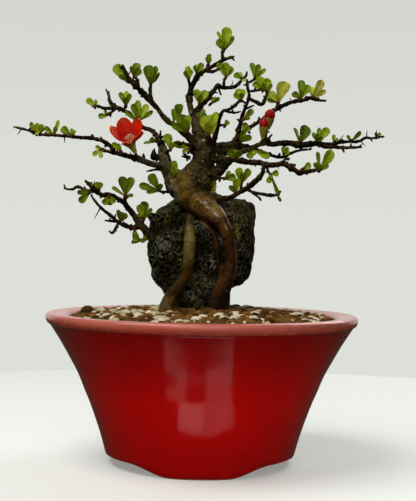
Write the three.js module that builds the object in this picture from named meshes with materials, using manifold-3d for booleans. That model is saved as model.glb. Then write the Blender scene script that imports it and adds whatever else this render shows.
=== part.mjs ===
// A dwarf Japanese quince grown over a lava rock, in its round flared glazed pot.
// Millimetres. +X is to the right, +Y to the back and +Z up. The pot stands on Z = 0, and the origin
// is its centre.
import * as THREE from "three";
import { mergeVertices } from "three/addons/utils/BufferGeometryUtils.js";
import Module from "manifold-3d";

const wasm = await Module();
wasm.setup();

// Pot
const rimRadius = 75;
const potHeight = 72;
const lipHeight = 5;
const footRadius = 43.6;
const footRingWidth = 4.6;
const footRingHeight = 5.2;
const footCount = 3;
const footHalfAngle = 24;
const archRampAngle = 7;
const archHeight = 4.7;
const floorTop = 10.2;
const drainHoleRadius = 6;
const potSegments = 32;

// What lies between the pieces, and the soil and rock
const gap = 0.3;
const screenRadius = 11;
const screenThickness = 0.9;
const screenHole = 3;
const screenPitch = 4.6;
const soilEdgeHeight = 69.4;
const soilTopHeight = 74.4;
const grainCount = 20;
const rockCentre = [0, 6, 102];
const rockHalfDepth = 18;
const rockDetail = 4;

// Leaves, flower and buds
const bladeThickness = 0.7;
const leafStalkHalfWidth = 0.34;
const leafBudRadius = 1.05;
const leafBudSides = 4;
const bladeRoot = 0.4;
const petalThickness = 0.7;
const petalHeight = 12.6;
const flowerRadius = 6.4;
const petalSpread = 0.58;

const degrees = Math.PI / 180;
const up = new THREE.Vector3(0, 0, 1);
const towardsViewer = new THREE.Vector3(0, -1, 0);
const at = (x, y, z) => new THREE.Vector3(x, y, z);
const union = (solids) => wasm.Manifold.union(solids);

// The same numbers come out on every run.
function seededRandom(seed) {
  let state = seed;
  return () => {
    state = (state * 16807) % 2147483647;
    return state / 2147483647;
  };
}

function solidOf(geometry) {
  const bare = new THREE.BufferGeometry().setAttribute("position", geometry.getAttribute("position"));
  if (geometry.index) bare.setIndex(geometry.index);
  const merged = mergeVertices(bare, 1e-4);
  return new wasm.Manifold(
    new wasm.Mesh({
      numProp: 3,
      vertProperties: merged.attributes.position.array,
      triVerts: new Uint32Array(merged.index.array),
    }),
  );
}

function geometryOf(solid) {
  const mesh = solid.getMesh();
  const geometry = new THREE.BufferGeometry();
  geometry.setAttribute("position", new THREE.BufferAttribute(new Float32Array(mesh.vertProperties), 3));
  geometry.setIndex(new THREE.BufferAttribute(new Uint32Array(mesh.triVerts), 1));
  geometry.computeVertexNormals();
  return geometry;
}

// A cut can leave loose scraps: only the largest body is kept.
function largestBody(solid) {
  return solid.decompose().reduce((a, b) => (b.volume() > a.volume() ? b : a));
}

// A closed surface from points and triangles that all face the same way, in or out.
function closedSolid(points, triangles) {
  const geometry = new THREE.BufferGeometry().setFromPoints(points);
  geometry.setIndex(triangles);
  const solid = solidOf(geometry);
  if (solid.volume() > 0) return solid;
  const turnedRound = [];
  for (let i = 0; i < triangles.length; i += 3) {
    turnedRound.push(triangles[i + 1], triangles[i], triangles[i + 2]);
  }
  geometry.setIndex(turnedRound);
  return solidOf(geometry);
}

// A skin over rings with the same number of points, closed by one point at each end.
function skin(rings, first, last) {
  const sides = rings[0].length;
  const points = [...rings.flat(), first, last];
  const firstIndex = points.length - 2;
  const lastIndex = points.length - 1;
  const lastRing = (rings.length - 1) * sides;
  const triangles = [];
  for (let s = 0; s < sides; s++) {
    const next = (s + 1) % sides;
    triangles.push(firstIndex, next, s, lastIndex, lastRing + s, lastRing + next);
    for (let row = 0; row < lastRing; row += sides) {
      triangles.push(row + s, row + next, row + sides + next, row + s, row + sides + next, row + sides + s);
    }
  }
  return closedSolid(points, triangles);
}

// A solid turned about Z from a closed half profile of [radius, height].
function turned(profile, segments) {
  const outline = profile.map(([r, z]) => new THREE.Vector2(r, z));
  const lathe = new THREE.LatheGeometry(outline, segments).rotateX(Math.PI / 2);
  const index = Array.from(lathe.index.array);
  const points = [];
  for (let i = 0; i < lathe.attributes.position.count; i++) {
    points.push(new THREE.Vector3().fromBufferAttribute(lathe.attributes.position, i));
  }
  return closedSolid(points, index);
}

// A solid that stands on the origin along +Z, moved to a place and turned to an axis.
function placed(solid, place, axis) {
  const turn = new THREE.Quaternion().setFromUnitVectors(up, axis.clone().normalize());
  return solidOf(geometryOf(solid).applyMatrix4(new THREE.Matrix4().compose(place, turn, at(1, 1, 1))));
}

// Pot: the wall's inner side is shared with the soil that fills it.
const innerWall = [
  [64.2, potHeight - 2.2],
  [60, 57],
  [51.6, 40],
  [42.2, 15.5],
  [37.5, floorTop],
];

function makePot() {
  const lipBottom = potHeight - lipHeight;
  const outerWall = [
    [footRadius, 0],
    [footRadius + 1.3, 0.9],
    [45.6, 5.1],
    [48.4, 15],
    [53.1, 28],
    [57.8, 40],
    [63.6, 51.3],
    [68.1, 59],
    [rimRadius - 1.9, lipBottom],
    [rimRadius - 0.3, lipBottom + 1.3],
    [rimRadius, potHeight - 1.8],
    [rimRadius - 1.6, potHeight],
    [rimRadius - 9.4, potHeight],
  ];
  const underside = [
    [drainHoleRadius, floorTop],
    [drainHoleRadius, footRingHeight],
    [footRadius - footRingWidth, footRingHeight],
    [footRadius - footRingWidth, 0],
  ];
  const profile = [...outerWall, ...innerWall, ...underside];
  profile.push(profile[0]);
  let pot = turned(profile, potSegments);
  for (let foot = 0; foot < footCount; foot++) {
    const footAngle = -90 + (foot * 360) / footCount;
    pot = pot.subtract(footArch(footAngle + footHalfAngle, footAngle + 360 / footCount - footHalfAngle));
  }
  return pot;
}

// The low arch between two feet, cut right through the foot ring.
function footArch(startAngle, endAngle) {
  const inner = footRadius - footRingWidth - 2;
  const outer = footRadius + 6;
  const steps = 6;
  const below = -1;
  const rampEnd = startAngle + archRampAngle;
  const rampStart = endAngle - archRampAngle;
  const stations = [[startAngle, 0.01]];
  for (let i = 0; i <= steps; i++) {
    stations.push([rampEnd + ((rampStart - rampEnd) * i) / steps, archHeight]);
  }
  stations.push([endAngle, 0.01]);
  const rings = stations.map(([angle, height]) => {
    const c = Math.cos(angle * degrees);
    const s = Math.sin(angle * degrees);
    return [
      at(inner * c, inner * s, below),
      at(outer * c, outer * s, below),
      at(outer * c, outer * s, height),
      at(inner * c, inner * s, height),
    ];
  });
  const middle = (ring) => ring.reduce((total, p) => total.add(p), at(0, 0, 0)).divideScalar(ring.length);
  return skin(rings, middle(rings[0]), middle(rings.at(-1)));
}

// The mesh screen that lies over the drain hole and holds the grains back.
function makeScreen() {
  const bottom = floorTop + gap;
  const disc = new THREE.CylinderGeometry(screenRadius, screenRadius, screenThickness, 12);
  disc.rotateX(Math.PI / 2).translate(0, 0, bottom + screenThickness / 2);
  let screen = solidOf(disc);
  for (const row of [-1, 0, 1]) {
    for (const column of [-1, 0, 1]) {
      const hole = new THREE.BoxGeometry(screenHole, screenHole, 4 * screenThickness);
      screen = screen.subtract(solidOf(hole.translate(column * screenPitch, row * screenPitch, bottom)));
    }
  }
  return screen;
}

// Soil: a mound that fills the pot, with its coarsest grains standing out of it.
const darkLump = [-56.2, 3, 71.2, 3.6];

function soilHeight(radius) {
  const share = Math.min(1, radius / 62);
  return soilTopHeight - (soilTopHeight - soilEdgeHeight) * share * share;
}

function makeSoil(wood, rock) {
  const clearance = gap + 0.1;
  const recess = floorTop + gap + screenThickness + gap;
  const side = innerWall
    .slice(1)
    .reverse()
    .map(([r, z]) => [r - clearance, Math.max(z, floorTop + gap)]);
  const top = [63, 48, 28].map((r) => [r, soilHeight(r)]);
  const bottom = [
    [0, recess],
    [screenRadius + 1, recess],
    [screenRadius + 1, floorTop + gap],
  ];
  const mound = turned([...bottom, ...side, ...top, [0, soilTopHeight]], potSegments);
  const random = seededRandom(41);
  const grains = [];
  for (let i = 0; i < grainCount; i++) {
    const angle = 2.39996 * i;
    const radius = 8 + 50.5 * Math.sqrt((i + random()) / grainCount);
    const size = 1.7 + 1.1 * random();
    grains.push([
      radius * Math.cos(angle),
      radius * Math.sin(angle),
      soilHeight(radius) + 0.25 * size,
      size,
    ]);
  }
  const solids = [...grains, darkLump].map(([x, y, z, size]) => {
    const grain = new THREE.IcosahedronGeometry(size, 0);
    grain.scale(0.85 + 0.4 * random(), 0.85 + 0.4 * random(), 0.7 + 0.3 * random());
    grain.rotateZ(6 * random()).rotateX(6 * random());
    return solidOf(grain.translate(x, y, z));
  });
  return largestBody(union([mound, ...solids]).subtract(wood).subtract(rock));
}

// Rock: its outline from the front, as the distance from its centre at each angle.
const rockOutline = [
  [0, 25],
  [31, 30],
  [41, 32.4],
  [48, 33],
  [64, 28.6],
  [79, 26.6],
  [101, 26],
  [123, 28.6],
  [131, 28],
  [143.5, 30.5],
  [153, 29.2],
  [169, 26],
  [187, 26.8],
  [201, 26.8],
  [223, 27.6],
  [232, 28],
  [242, 33],
  [270, 33.5],
  [292, 33],
  [308, 22],
  [316, 24],
  [326, 26],
  [339, 24.8],
];

function rockReach(angle) {
  const last = rockOutline.length - 1;
  const turns = angle < 0 ? angle + 360 : angle;
  let i = last;
  while (rockOutline[i][0] > turns) i--;
  const [startAngle, startReach] = rockOutline[i];
  const [nextAngle, nextReach] = i === last ? [360, rockOutline[0][1]] : rockOutline[i + 1];
  const share = (turns - startAngle) / (nextAngle - startAngle);
  return startReach + (nextReach - startReach) * share;
}

// The rock's surface in one direction, moved out by a clearance. It is boxier than a ball, with lumps
// and hollows.
function rockPoint(direction, clearance) {
  const { x, y, z } = direction;
  const flat = Math.hypot(x, z);
  const reach = rockReach(Math.atan2(z, x) / degrees);
  const lumps =
    0.9 * Math.sin(6.1 * x + 2.3 * y + 1.3) * Math.sin(5.7 * z - 3.1 * y + 0.4) +
    0.8 * Math.sin(12.5 * x - 9 * z + 2) * Math.sin(11 * y + 7 * z) +
    0.5 * Math.sin(23 * x + 4) * Math.sin(21 * z + 19 * y);
  const outwards = flat > 0 ? ((reach + lumps + clearance) * flat ** 0.7) / flat : 0;
  const depth = (rockHalfDepth + 1.6 * lumps + clearance) * Math.sign(y) * Math.abs(y) ** 0.75;
  return at(rockCentre[0] + outwards * x, rockCentre[1] + depth, rockCentre[2] + outwards * z);
}

function makeRock(clearance) {
  const ball = mergeVertices(
    new THREE.BufferGeometry().setAttribute(
      "position",
      new THREE.IcosahedronGeometry(1, rockDetail).getAttribute("position"),
    ),
  );
  const position = ball.getAttribute("position");
  for (let i = 0; i < position.count; i++) {
    const direction = new THREE.Vector3().fromBufferAttribute(position, i).normalize();
    position.setXYZ(i, ...rockPoint(direction, clearance).toArray());
  }
  return solidOf(ball);
}

// Wood: each limb is a path of [x, y, z, radius].
const trunkAndRoots = {
  trunkAndRightRoot: [
    [3.2, 0, 153.5, 4.6],
    [2.3, 0, 150.5, 5.9],
    [0.4, 0, 147.3, 5.6],
    [-1.5, 0, 143.7, 5.7],
    [-3.1, -0.5, 140.2, 6.9],
    [-4.9, -1, 136.3, 8.4],
    [-5.8, -2, 131.6, 9.7],
    [-4.6, -3.5, 127, 9.5],
    [-2.4, -5.5, 123.6, 8],
    [0.8, -8, 121, 6.6],
    [4.6, -10.2, 118.8, 5.3],
    [9.4, -12.4, 113, 4],
    [12.3, -13.6, 105.6, 3.3],
    [13.6, -14, 98.5, 3.2],
    [12.3, -13.8, 92, 3.6],
    [8.9, -13.3, 86.3, 3.3],
    [6.6, -13, 80.4, 3.4],
    [5.7, -13, 75, 3.8],
    [5.2, -13, 68, 3.6],
  ],
  leftRoot: [
    [-8.5, -4, 125.5, 5],
    [-8.2, -8, 121, 3.6],
    [-7.6, -11, 117.5, 2.4],
    [-7, -12.6, 112.3, 2.5],
    [-6.4, -13.4, 106, 3.1],
    [-6.8, -13.6, 99.7, 2.6],
    [-7.2, -13.3, 93.9, 2.4],
    [-8.5, -12.8, 89.5, 2.4],
    [-10.9, -12.2, 85.9, 2.6],
    [-14.2, -11.4, 82, 2.7],
    [-17, -11, 78.2, 3],
    [-18.9, -11, 74, 3.2],
    [-20.2, -11, 68, 3],
  ],
  middleRoot: [
    [-2, -7.5, 120.5, 3],
    [-0.3, -10.4, 115.7, 2.1],
    [3.6, -11.8, 112.3, 2],
    [6.2, -12.6, 107.5, 1.9],
    [7.2, -13.2, 101.8, 1.9],
    [7.8, -13.4, 96.9, 1.9],
    [9.4, -13.2, 91.5, 2],
  ],
  behindRightRoot: [
    [13.4, -11, 99, 2.2],
    [14.7, -9.6, 93, 2.3],
    [13.9, -9, 88.3, 2.4],
    [12.9, -9.5, 83.4, 2.4],
    [12, -10, 78.6, 2.5],
    [11.4, -10.5, 74.5, 2.8],
    [11, -10.5, 68, 2.6],
  ],
  backLeftRoot: [
    [-7, 4, 127, 5],
    [-9.5, 13, 123, 3.6],
    [-10.5, 21, 115, 3],
    [-9.5, 24, 104, 2.6],
    [-7.5, 24, 92, 2.5],
    [-7, 21.5, 81, 2.6],
    [-8, 19.5, 74, 2.9],
    [-8.5, 19, 68, 2.7],
  ],
  backRightRoot: [
    [0, 5, 125, 4.4],
    [6, 14, 122.5, 3.2],
    [11, 21, 114, 2.6],
    [12.5, 24, 102, 2.3],
    [10.5, 23.5, 90, 2.3],
    [8.5, 20, 79, 2.5],
    [8.5, 18.5, 74, 2.7],
    [8.5, 18, 68, 2.5],
  ],
};

const branches = {
  leader: [
    [1.2, 0, 151, 4.6],
    [-0.9, 0, 154.6, 4.2],
    [-2.9, 0, 158.3, 3.4],
    [-4.4, 1, 163.1, 2.6],
    [-6, 2, 167.9, 2.2],
    [-7.5, 3, 172.7, 2],
    [-7.5, 3, 177.5, 1.9],
    [-7.2, 4, 181, 1.8],
    [-5.3, 4, 184.9, 1.8],
    [-3.9, 4, 187.4, 1.8],
    [-0.5, 3, 189.8, 1.6],
    [4.3, 2, 192.4, 1.4],
    [7.6, 1, 194.4, 1.4],
    [11.5, 0, 195.7, 1.2],
    [13.4, 0, 196.3, 0.9],
  ],
  leaderTopSpur: [
    [8.1, 1, 194.6, 1.3],
    [7.8, 1, 198.1, 1.2],
    [8.5, 1, 200, 1],
  ],
  leaderLeftSpur: [
    [-6.9, 4, 181.5, 1.3],
    [-8.1, 3, 183.8, 1.2],
    [-8.5, 2.2, 185.7, 0.9],
  ],
  leaderRightShoot: [
    [0.4, 3, 189.4, 1.2],
    [3.4, 0, 188.9, 1.1],
    [6.3, -2, 189.8, 1],
  ],
  leaderLeftTwig: [
    [-5.5, 1.6, 166, 1.2],
    [-7.9, -1, 166.4, 1],
    [-12.3, -2, 167.6, 0.8],
  ],
  innerBack: [
    [-6.3, 2, 168.5, 1.8],
    [-2.3, 7, 173.1, 1.7],
    [2.1, 12, 178.2, 1.6],
    [4, 15, 181.7, 1.6],
    [6, 17, 184.4, 1.7],
    [8, 19, 183.8, 1.5],
    [11.5, 21, 184.1, 1.4],
    [14.6, 23, 185, 1.4],
    [18.1, 25, 188.6, 1.2],
    [20.2, 26, 191, 1.1],
    [20.6, 26, 193, 0.8],
  ],
  innerBackSpur: [
    [8.8, 19.5, 183.9, 1.2],
    [9, 20, 187, 1],
    [9.9, 20, 189.6, 0.8],
  ],
  rightLeader: [
    [13.2, -1, 152.7, 2.4],
    [15.5, -2, 156, 2.2],
    [15.9, -3, 159.7, 1.9],
    [16.9, -4, 163.5, 1.6],
    [17.6, -5, 166.8, 1.4],
    [19.1, -6, 171, 1.3],
    [20.8, -7, 176.6, 1.2],
    [20.2, -7.5, 179.4, 1.1],
    [19.7, -8, 182.2, 1],
    [19.6, -8, 184.2, 0.8],
  ],
  rightLeaderTip: [
    [19.7, -8, 182.6, 0.9],
    [22, -8.7, 183.4, 0.9],
    [23.5, -9, 185, 0.8],
  ],
  rightLeaderSide: [
    [20.6, -7.5, 178.6, 1],
    [23.4, -8.5, 178.8, 0.9],
    [27, -9.5, 179.4, 0.8],
  ],
  rightLeaderHook: [
    [20.7, -6.8, 175.3, 1.3],
    [24.2, -5, 173.9, 1.2],
    [27, -4, 172.9, 1.5],
    [28.6, -3, 175.5, 1.2],
    [29.4, -3, 178.6, 0.9],
  ],
  frontArch: [
    [3.9, -4, 153.6, 1.9],
    [6.1, -11, 160.7, 1.4],
    [7, -14, 165, 1.3],
    [8.3, -16, 167.9, 1.2],
    [11.1, -18, 168.5, 1.2],
    [13.8, -20, 170.2, 1.2],
    [16.5, -22, 172.2, 1],
    [18.4, -23, 171.2, 0.8],
  ],
  frontCentreSpur: [
    [2, -2.5, 153.5, 2],
    [2.2, -6.5, 156, 1.3],
    [2, -8, 157.8, 1],
  ],
  crownBackTwig: [
    [0.5, 2, 154, 2.2],
    [0.5, 9, 159, 1.6],
    [-2, 14, 163, 1.2],
    [-3, 18, 167.5, 0.8],
  ],
  rightLimb: [
    [3.5, 0, 151, 3.6],
    [8.3, 0, 152.2, 2.7],
    [12.2, 0, 153.2, 2.4],
    [16.1, 0, 153.2, 2.3],
    [20, 1.5, 152.8, 2],
    [24, 4.5, 152.2, 1.6],
    [28.1, 8, 151.1, 1.4],
    [32.2, 11, 150, 1.3],
    [36.5, 14, 149.1, 1.2],
    [39.5, 16, 149.5, 1.3],
    [43, 18, 151.5, 1.2],
    [47.7, 20, 153.2, 1],
    [53.4, 22, 153.9, 0.7],
  ],
  rightUpper: [
    [14.6, 0, 155.2, 2.1],
    [20.4, 6, 161.7, 1.8],
    [26.5, 10, 166.1, 1.8],
    [31, 13, 169.9, 1.9],
    [37.7, 17, 174.6, 1.9],
    [41.7, 19, 176.6, 1.7],
    [44.9, 21, 177.8, 1.7],
    [49, 22, 178.6, 1.5],
    [52.5, 23, 179.8, 1.5],
    [56.7, 24.5, 179, 1.2],
    [60.9, 26, 179, 0.9],
  ],
  rightUpperSpur: [
    [36, 15.8, 173.5, 1.2],
    [35.5, 15.4, 176.7, 0.9],
  ],
  rightLong: [
    [8.3, -2, 150, 2.2],
    [16, -3, 149.6, 1.9],
    [20, -2.5, 150.7, 1.8],
    [23.3, -2, 152.2, 1.8],
    [26.6, -1, 154, 1.8],
    [29.5, 0, 155.1, 1.9],
    [32.5, 1, 154.3, 1.8],
    [36.5, 2.5, 155, 1.8],
    [41.4, 4, 155.2, 1.9],
    [46.4, 6, 154.7, 2],
    [51.5, 7.5, 155.2, 2],
    [55.6, 8.5, 155.6, 1.8],
    [58.9, 8, 154.2, 1.5],
    [63.6, 7, 154, 1.3],
    [68.5, 6, 153.6, 1.2],
    [73.1, 5, 153.8, 1.1],
    [76.5, 4, 153.9, 0.7],
  ],
  rightTip: [
    [56.5, 8.6, 155.5, 1.6],
    [63.3, 11, 155.8, 1.4],
    [67.3, 13, 156.9, 1.4],
    [71.5, 15, 157.5, 1.2],
    [75.2, 16.5, 157.6, 1.1],
    [77.8, 17.5, 158.5, 1.1],
    [80, 18, 159.8, 1],
    [83.5, 18.7, 159.7, 0.9],
    [86.1, 19.3, 160.3, 0.9],
    [89.8, 20, 161, 0.5],
  ],
  firstBudSpur: [
    [26.8, -1, 154, 1.3],
    [27.8, -1.9, 156.3, 1],
  ],
  secondBudSpur: [
    [28.9, 0.2, 155.2, 1.2],
    [30, 1.5, 161.2, 0.9],
  ],
  rightStub: [
    [28.4, -0.6, 154.6, 1.3],
    [32.4, -1.6, 158.8, 0.7],
  ],
  rightLower: [
    [4, -2, 146.6, 2.4],
    [11, -6, 146, 2],
    [17, -9, 145.4, 1.9],
    [21.6, -11, 144.5, 1.8],
    [26.2, -12.5, 144.3, 1.8],
    [30, -14, 143.2, 1.8],
    [33.7, -15, 143.3, 1.8],
    [37, -16, 143.8, 1.8],
    [40.2, -17, 141.9, 1.8],
    [42.6, -17.5, 140.7, 1.7],
    [44.4, -18, 139.6, 1.8],
    [46.7, -18.5, 140, 1.7],
    [49.4, -19, 140.3, 1.5],
    [53.1, -20, 141.2, 1],
  ],
  rightLowerHanger: [
    [29.4, -13.8, 143, 1.2],
    [30, -15, 140.3, 0.9],
    [31.5, -16, 138.2, 0.8],
  ],
  rightDrop: [
    [2.4, -5, 129.6, 2.4],
    [8.6, -8, 127.4, 1.8],
    [12.4, -10, 127.8, 1.6],
    [16.1, -11.5, 129.7, 1.6],
    [19.9, -13, 132, 1.7],
    [23.5, -14, 134.7, 1.8],
    [26.2, -15.5, 137.5, 1.8],
    [27.7, -17, 140.4, 1.4],
    [27.2, -18, 142.6, 0.9],
  ],
  rightDropTwig: [
    [20.2, -13, 132, 1.3],
    [22.6, -14, 130.5, 1.2],
    [24.9, -15, 129.8, 1.1],
    [27.8, -16, 129.3, 1.2],
    [31.1, -17, 128.8, 1.3],
    [35.2, -18, 129.1, 0.8],
  ],
  rightDropSpur: [
    [17.3, -12, 130.4, 1.2],
    [17.8, -13, 135, 0.8],
  ],
  rightDarkTwig: [
    [1.5, -4, 140, 1.7],
    [6, -8, 137.7, 1.2],
    [8.3, -10, 136.9, 1],
    [10.2, -11, 137.1, 0.8],
  ],
  leftUpper: [
    [-2.5, -1, 153, 3],
    [-8.7, -4, 157.5, 2.2],
    [-12.9, -7, 160.7, 1.9],
    [-20, -11, 165.5, 1.7],
    [-22.8, -12.5, 169.5, 1.7],
    [-27.9, -15, 174.4, 1.9],
    [-30.8, -16, 177.4, 1.6],
    [-33.5, -17.5, 180, 2],
    [-35.9, -18.5, 182.1, 1.6],
    [-37.2, -19.5, 184.8, 1.2],
    [-38.9, -20, 188.4, 0.7],
  ],
  leftUpperSpur: [
    [-25.7, -14, 172.4, 1.5],
    [-26, -15, 177.6, 1.3],
    [-25.7, -15.5, 180.4, 1],
  ],
  leftUpperTipSpur: [
    [-31.2, -16.2, 177.8, 1.3],
    [-32.2, -17.5, 181.9, 1],
    [-33.2, -18, 183.6, 0.8],
  ],
  leftInnerTwig: [
    [-2, -2, 150.5, 2],
    [-8.1, -6, 152.8, 1.4],
    [-14.2, -8, 153.6, 0.8],
  ],
  leftLimb: [
    [-11.5, 0, 130, 3.6],
    [-15.4, 0.3, 132.6, 3],
    [-16.6, 1, 136.3, 2.5],
    [-19, 2, 141, 2.3],
    [-20.6, 3, 145.9, 2.2],
    [-21.7, 4, 151.7, 2],
    [-22.8, 5, 156.2, 1.7],
  ],
  leftLimbSnag: [
    [-22, 4.2, 153.5, 1.4],
    [-21.6, 3.6, 160.3, 0.7],
  ],
  leftLimbTwig: [
    [-20.9, 3, 148.5, 1.3],
    [-17.8, -1, 149.8, 0.9],
    [-16.3, -3, 151.2, 0.8],
  ],
  leftLimbLowTwig: [
    [-19, 1.5, 141.2, 1.2],
    [-22.9, -2, 141, 0.9],
    [-27.6, -5, 139.8, 0.6],
  ],
  leftThorny: [
    [-22.6, 4.8, 155.4, 1.7],
    [-24.6, 7, 159.2, 1.6],
    [-27.2, 9, 161.2, 1.6],
    [-30.8, 12, 162.6, 1.5],
    [-33.9, 14, 166, 1.4],
    [-37.6, 16, 169.1, 1.5],
    [-41.8, 18, 172.1, 1.6],
    [-45.4, 20, 173.4, 1.6],
    [-48.2, 21, 176.6, 1.5],
    [-48.7, 22, 179.2, 1.1],
    [-50.4, 23, 182.6, 0.6],
  ],
  leftThornySide: [
    [-45, 20, 173.2, 1.5],
    [-50.9, 19, 172.5, 1.3],
    [-53.3, 18, 173.3, 1.1],
    [-55.7, 17, 173.5, 0.8],
  ],
  leftThornyLow: [
    [-44.6, 19.6, 173, 1.2],
    [-47.3, 18.5, 170.3, 1.1],
    [-49.2, 17.5, 169.4, 0.8],
  ],
  leftThornySpur: [
    [-40.6, 17.6, 171.6, 1.1],
    [-39.8, 16.6, 174.2, 0.9],
  ],
  leftMid: [
    [-18, -0.5, 140.6, 2.4],
    [-22.4, -3, 142.8, 2.2],
    [-27.6, -6, 144.1, 2],
    [-32.1, -9, 145.7, 1.9],
    [-38.8, -11, 147.2, 1.7],
    [-43.3, -12.5, 148.1, 1.5],
    [-48.8, -14, 148.9, 0.9],
  ],
  flowerSpur: [
    [-32.1, -9, 145.8, 1.4],
    [-32.6, -9.7, 147.9, 1.1],
  ],
  leftLong: [
    [-42.6, -12.3, 148, 1.6],
    [-45.6, -12.7, 151.9, 1.5],
    [-51, -13.3, 154.1, 1.4],
    [-59, -14, 154.7, 1.25],
    [-68.3, -14.7, 155.4, 1.1],
    [-78.6, -15.3, 156, 1],
    [-83.2, -15.7, 157.5, 0.9],
    [-89.9, -16, 159, 0.6],
  ],
  leftSpray: [
    [-12.5, -3, 130.4, 1.6],
    [-17.3, -5.5, 130.2, 1.1],
    [-20.1, -8, 130, 1],
    [-21.6, -10.6, 130.7, 0.8],
  ],
  leftLower: [
    [-9, 3, 127, 3.4],
    [-15.5, 9, 123, 3],
    [-20.5, 11.6, 118, 2.8],
    [-23.5, 11, 112.5, 2.8],
    [-26, 8, 109.3, 2.6],
    [-28.9, 6, 112.4, 2.3],
    [-31.8, 4, 115.8, 2.1],
    [-34.3, 2, 119.5, 1.9],
    [-36.6, 0, 122.4, 1.8],
    [-38.6, -1, 124.8, 1.8],
    [-41.4, -3, 126.6, 1.6],
    [-45.1, -5, 128.3, 1.6],
    [-48.3, -6, 128, 1.6],
    [-51.2, -7, 129.8, 1.6],
    [-53.5, -8, 131.8, 1.5],
    [-55.3, -8.5, 133.4, 1.2],
    [-56.6, -9, 134.8, 0.8],
  ],
  leftLowerSide: [
    [-50.9, -7, 129.6, 1.4],
    [-56.2, -9, 130.1, 1.2],
    [-60.3, -10.5, 131.6, 1.1],
    [-62.2, -11, 130.4, 1],
    [-66.3, -12, 130.7, 0.6],
  ],
  leftLowerUnder: [
    [-30.3, 5, 114, 2],
    [-34.1, 5, 112.9, 1.8],
    [-37.5, 4, 113.6, 1.6],
    [-40.9, 3, 115, 1.4],
    [-45.4, 2, 118.8, 1.3],
    [-49.7, 1, 122.1, 1.1],
    [-52.7, 0, 125.5, 0.9],
    [-54.7, 0, 128.3, 0.6],
  ],
  leftLowerHanger: [
    [-41.4, 3, 115, 1.2],
    [-42.8, 2, 112.1, 1],
    [-44.2, 1.2, 110.1, 1],
    [-45.7, 1, 111.1, 0.6],
  ],
  leftLowerSpur: [
    [-38, -0.6, 124, 1.5],
    [-38, -2, 126.9, 1.2],
    [-37.6, -3, 128.8, 0.9],
  ],
  leftLowerInnerSpur: [
    [-30.2, 5, 114, 1.5],
    [-29.3, 3, 117.6, 0.9],
  ],
};

// Thorns: [foot x, y, z, tip x, y, z].
const thorns = [
  [-82.2, -15.6, 157.2, -81.4, -16.6, 161.6],
  [-86, -15.9, 158.2, -87.8, -17, 155.2],
  [-50, 1, 122.3, -52.9, -0.5, 116.4],
  [-66, -14.4, 155.2, -66.2, -12.6, 152.2],
  [65, 12, 156.2, 68.6, 11, 160.6],
  [80.6, 18.2, 159.6, 80.9, 18.6, 163.6],
  [85.4, 19.2, 160.2, 85.6, 17.6, 163.8],
  [-36.4, -19, 183.6, -34.6, -17, 186.8],
  [12.8, 22, 184.6, 13.6, 20, 187.6],
  [-53, -7.8, 131.4, -52, -9.6, 134.6],
];

// A limb's section is round, and its radius is uneven along it, as bark is.
function limb(path, sides, clearance, random) {
  const curve = new THREE.CatmullRomCurve3(
    path.map(([x, y, z]) => at(x, y, z)),
    false,
    "centripetal",
  );
  const margin = clearance / Math.cos(Math.PI / sides);
  const steps = path.length - 1;
  let across = null;
  const rings = [];
  for (let i = 0; i <= steps; i++) {
    const share = i / steps;
    const centre = curve.getPoint(share);
    const along = curve.getTangent(share);
    if (across === null) across = Math.abs(along.z) < 0.9 ? at(0, 0, 1) : at(1, 0, 0);
    across = across.clone().addScaledVector(along, -across.dot(along)).normalize();
    const side = along.clone().cross(across);
    const uneven = path[i][3] * (0.95 + 0.1 * random()) + margin;
    const ring = [];
    for (let s = 0; s < sides; s++) {
      const angle = (s / sides) * 2 * Math.PI;
      ring.push(
        centre
          .clone()
          .addScaledVector(across, uneven * Math.cos(angle))
          .addScaledVector(side, uneven * Math.sin(angle)),
      );
    }
    rings.push(ring);
  }
  const endRounding = 0.5;
  const startReach = clearance + endRounding * path[0][3];
  const endReach = clearance + endRounding * path.at(-1)[3];
  const start = curve.getPoint(0).addScaledVector(curve.getTangent(0), -startReach);
  const end = curve.getPoint(1).addScaledVector(curve.getTangent(1), endReach);
  return skin(rings, start, end);
}

// The number of sides of a limb, by the radius that its thickest point is above.
const limbSides = [[5, 9], [2.9, 7], [2.3, 6], [1.3, 5], [0, 4]];
const thornRadius = 0.62;
const thornTipRadius = 0.1;
const thornSides = 3;

function sidesOf(path) {
  const thickest = Math.max(...path.map((point) => point[3]));
  return limbSides.find(([radius]) => thickest > radius)[1];
}

function thorn([footX, footY, footZ, tipX, tipY, tipZ], clearance, random) {
  const path = [
    [footX, footY, footZ, thornRadius],
    [tipX, tipY, tipZ, thornTipRadius],
  ];
  return limb(path, thornSides, clearance, random);
}

function makeWood(clearance) {
  const random = seededRandom(7);
  const paths = [...Object.values(trunkAndRoots), ...Object.values(branches)];
  return union([
    ...paths.map((path) => limb(path, sidesOf(path), clearance, random)),
    ...thorns.map((ends) => thorn(ends, clearance, random)),
  ]);
}

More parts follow.
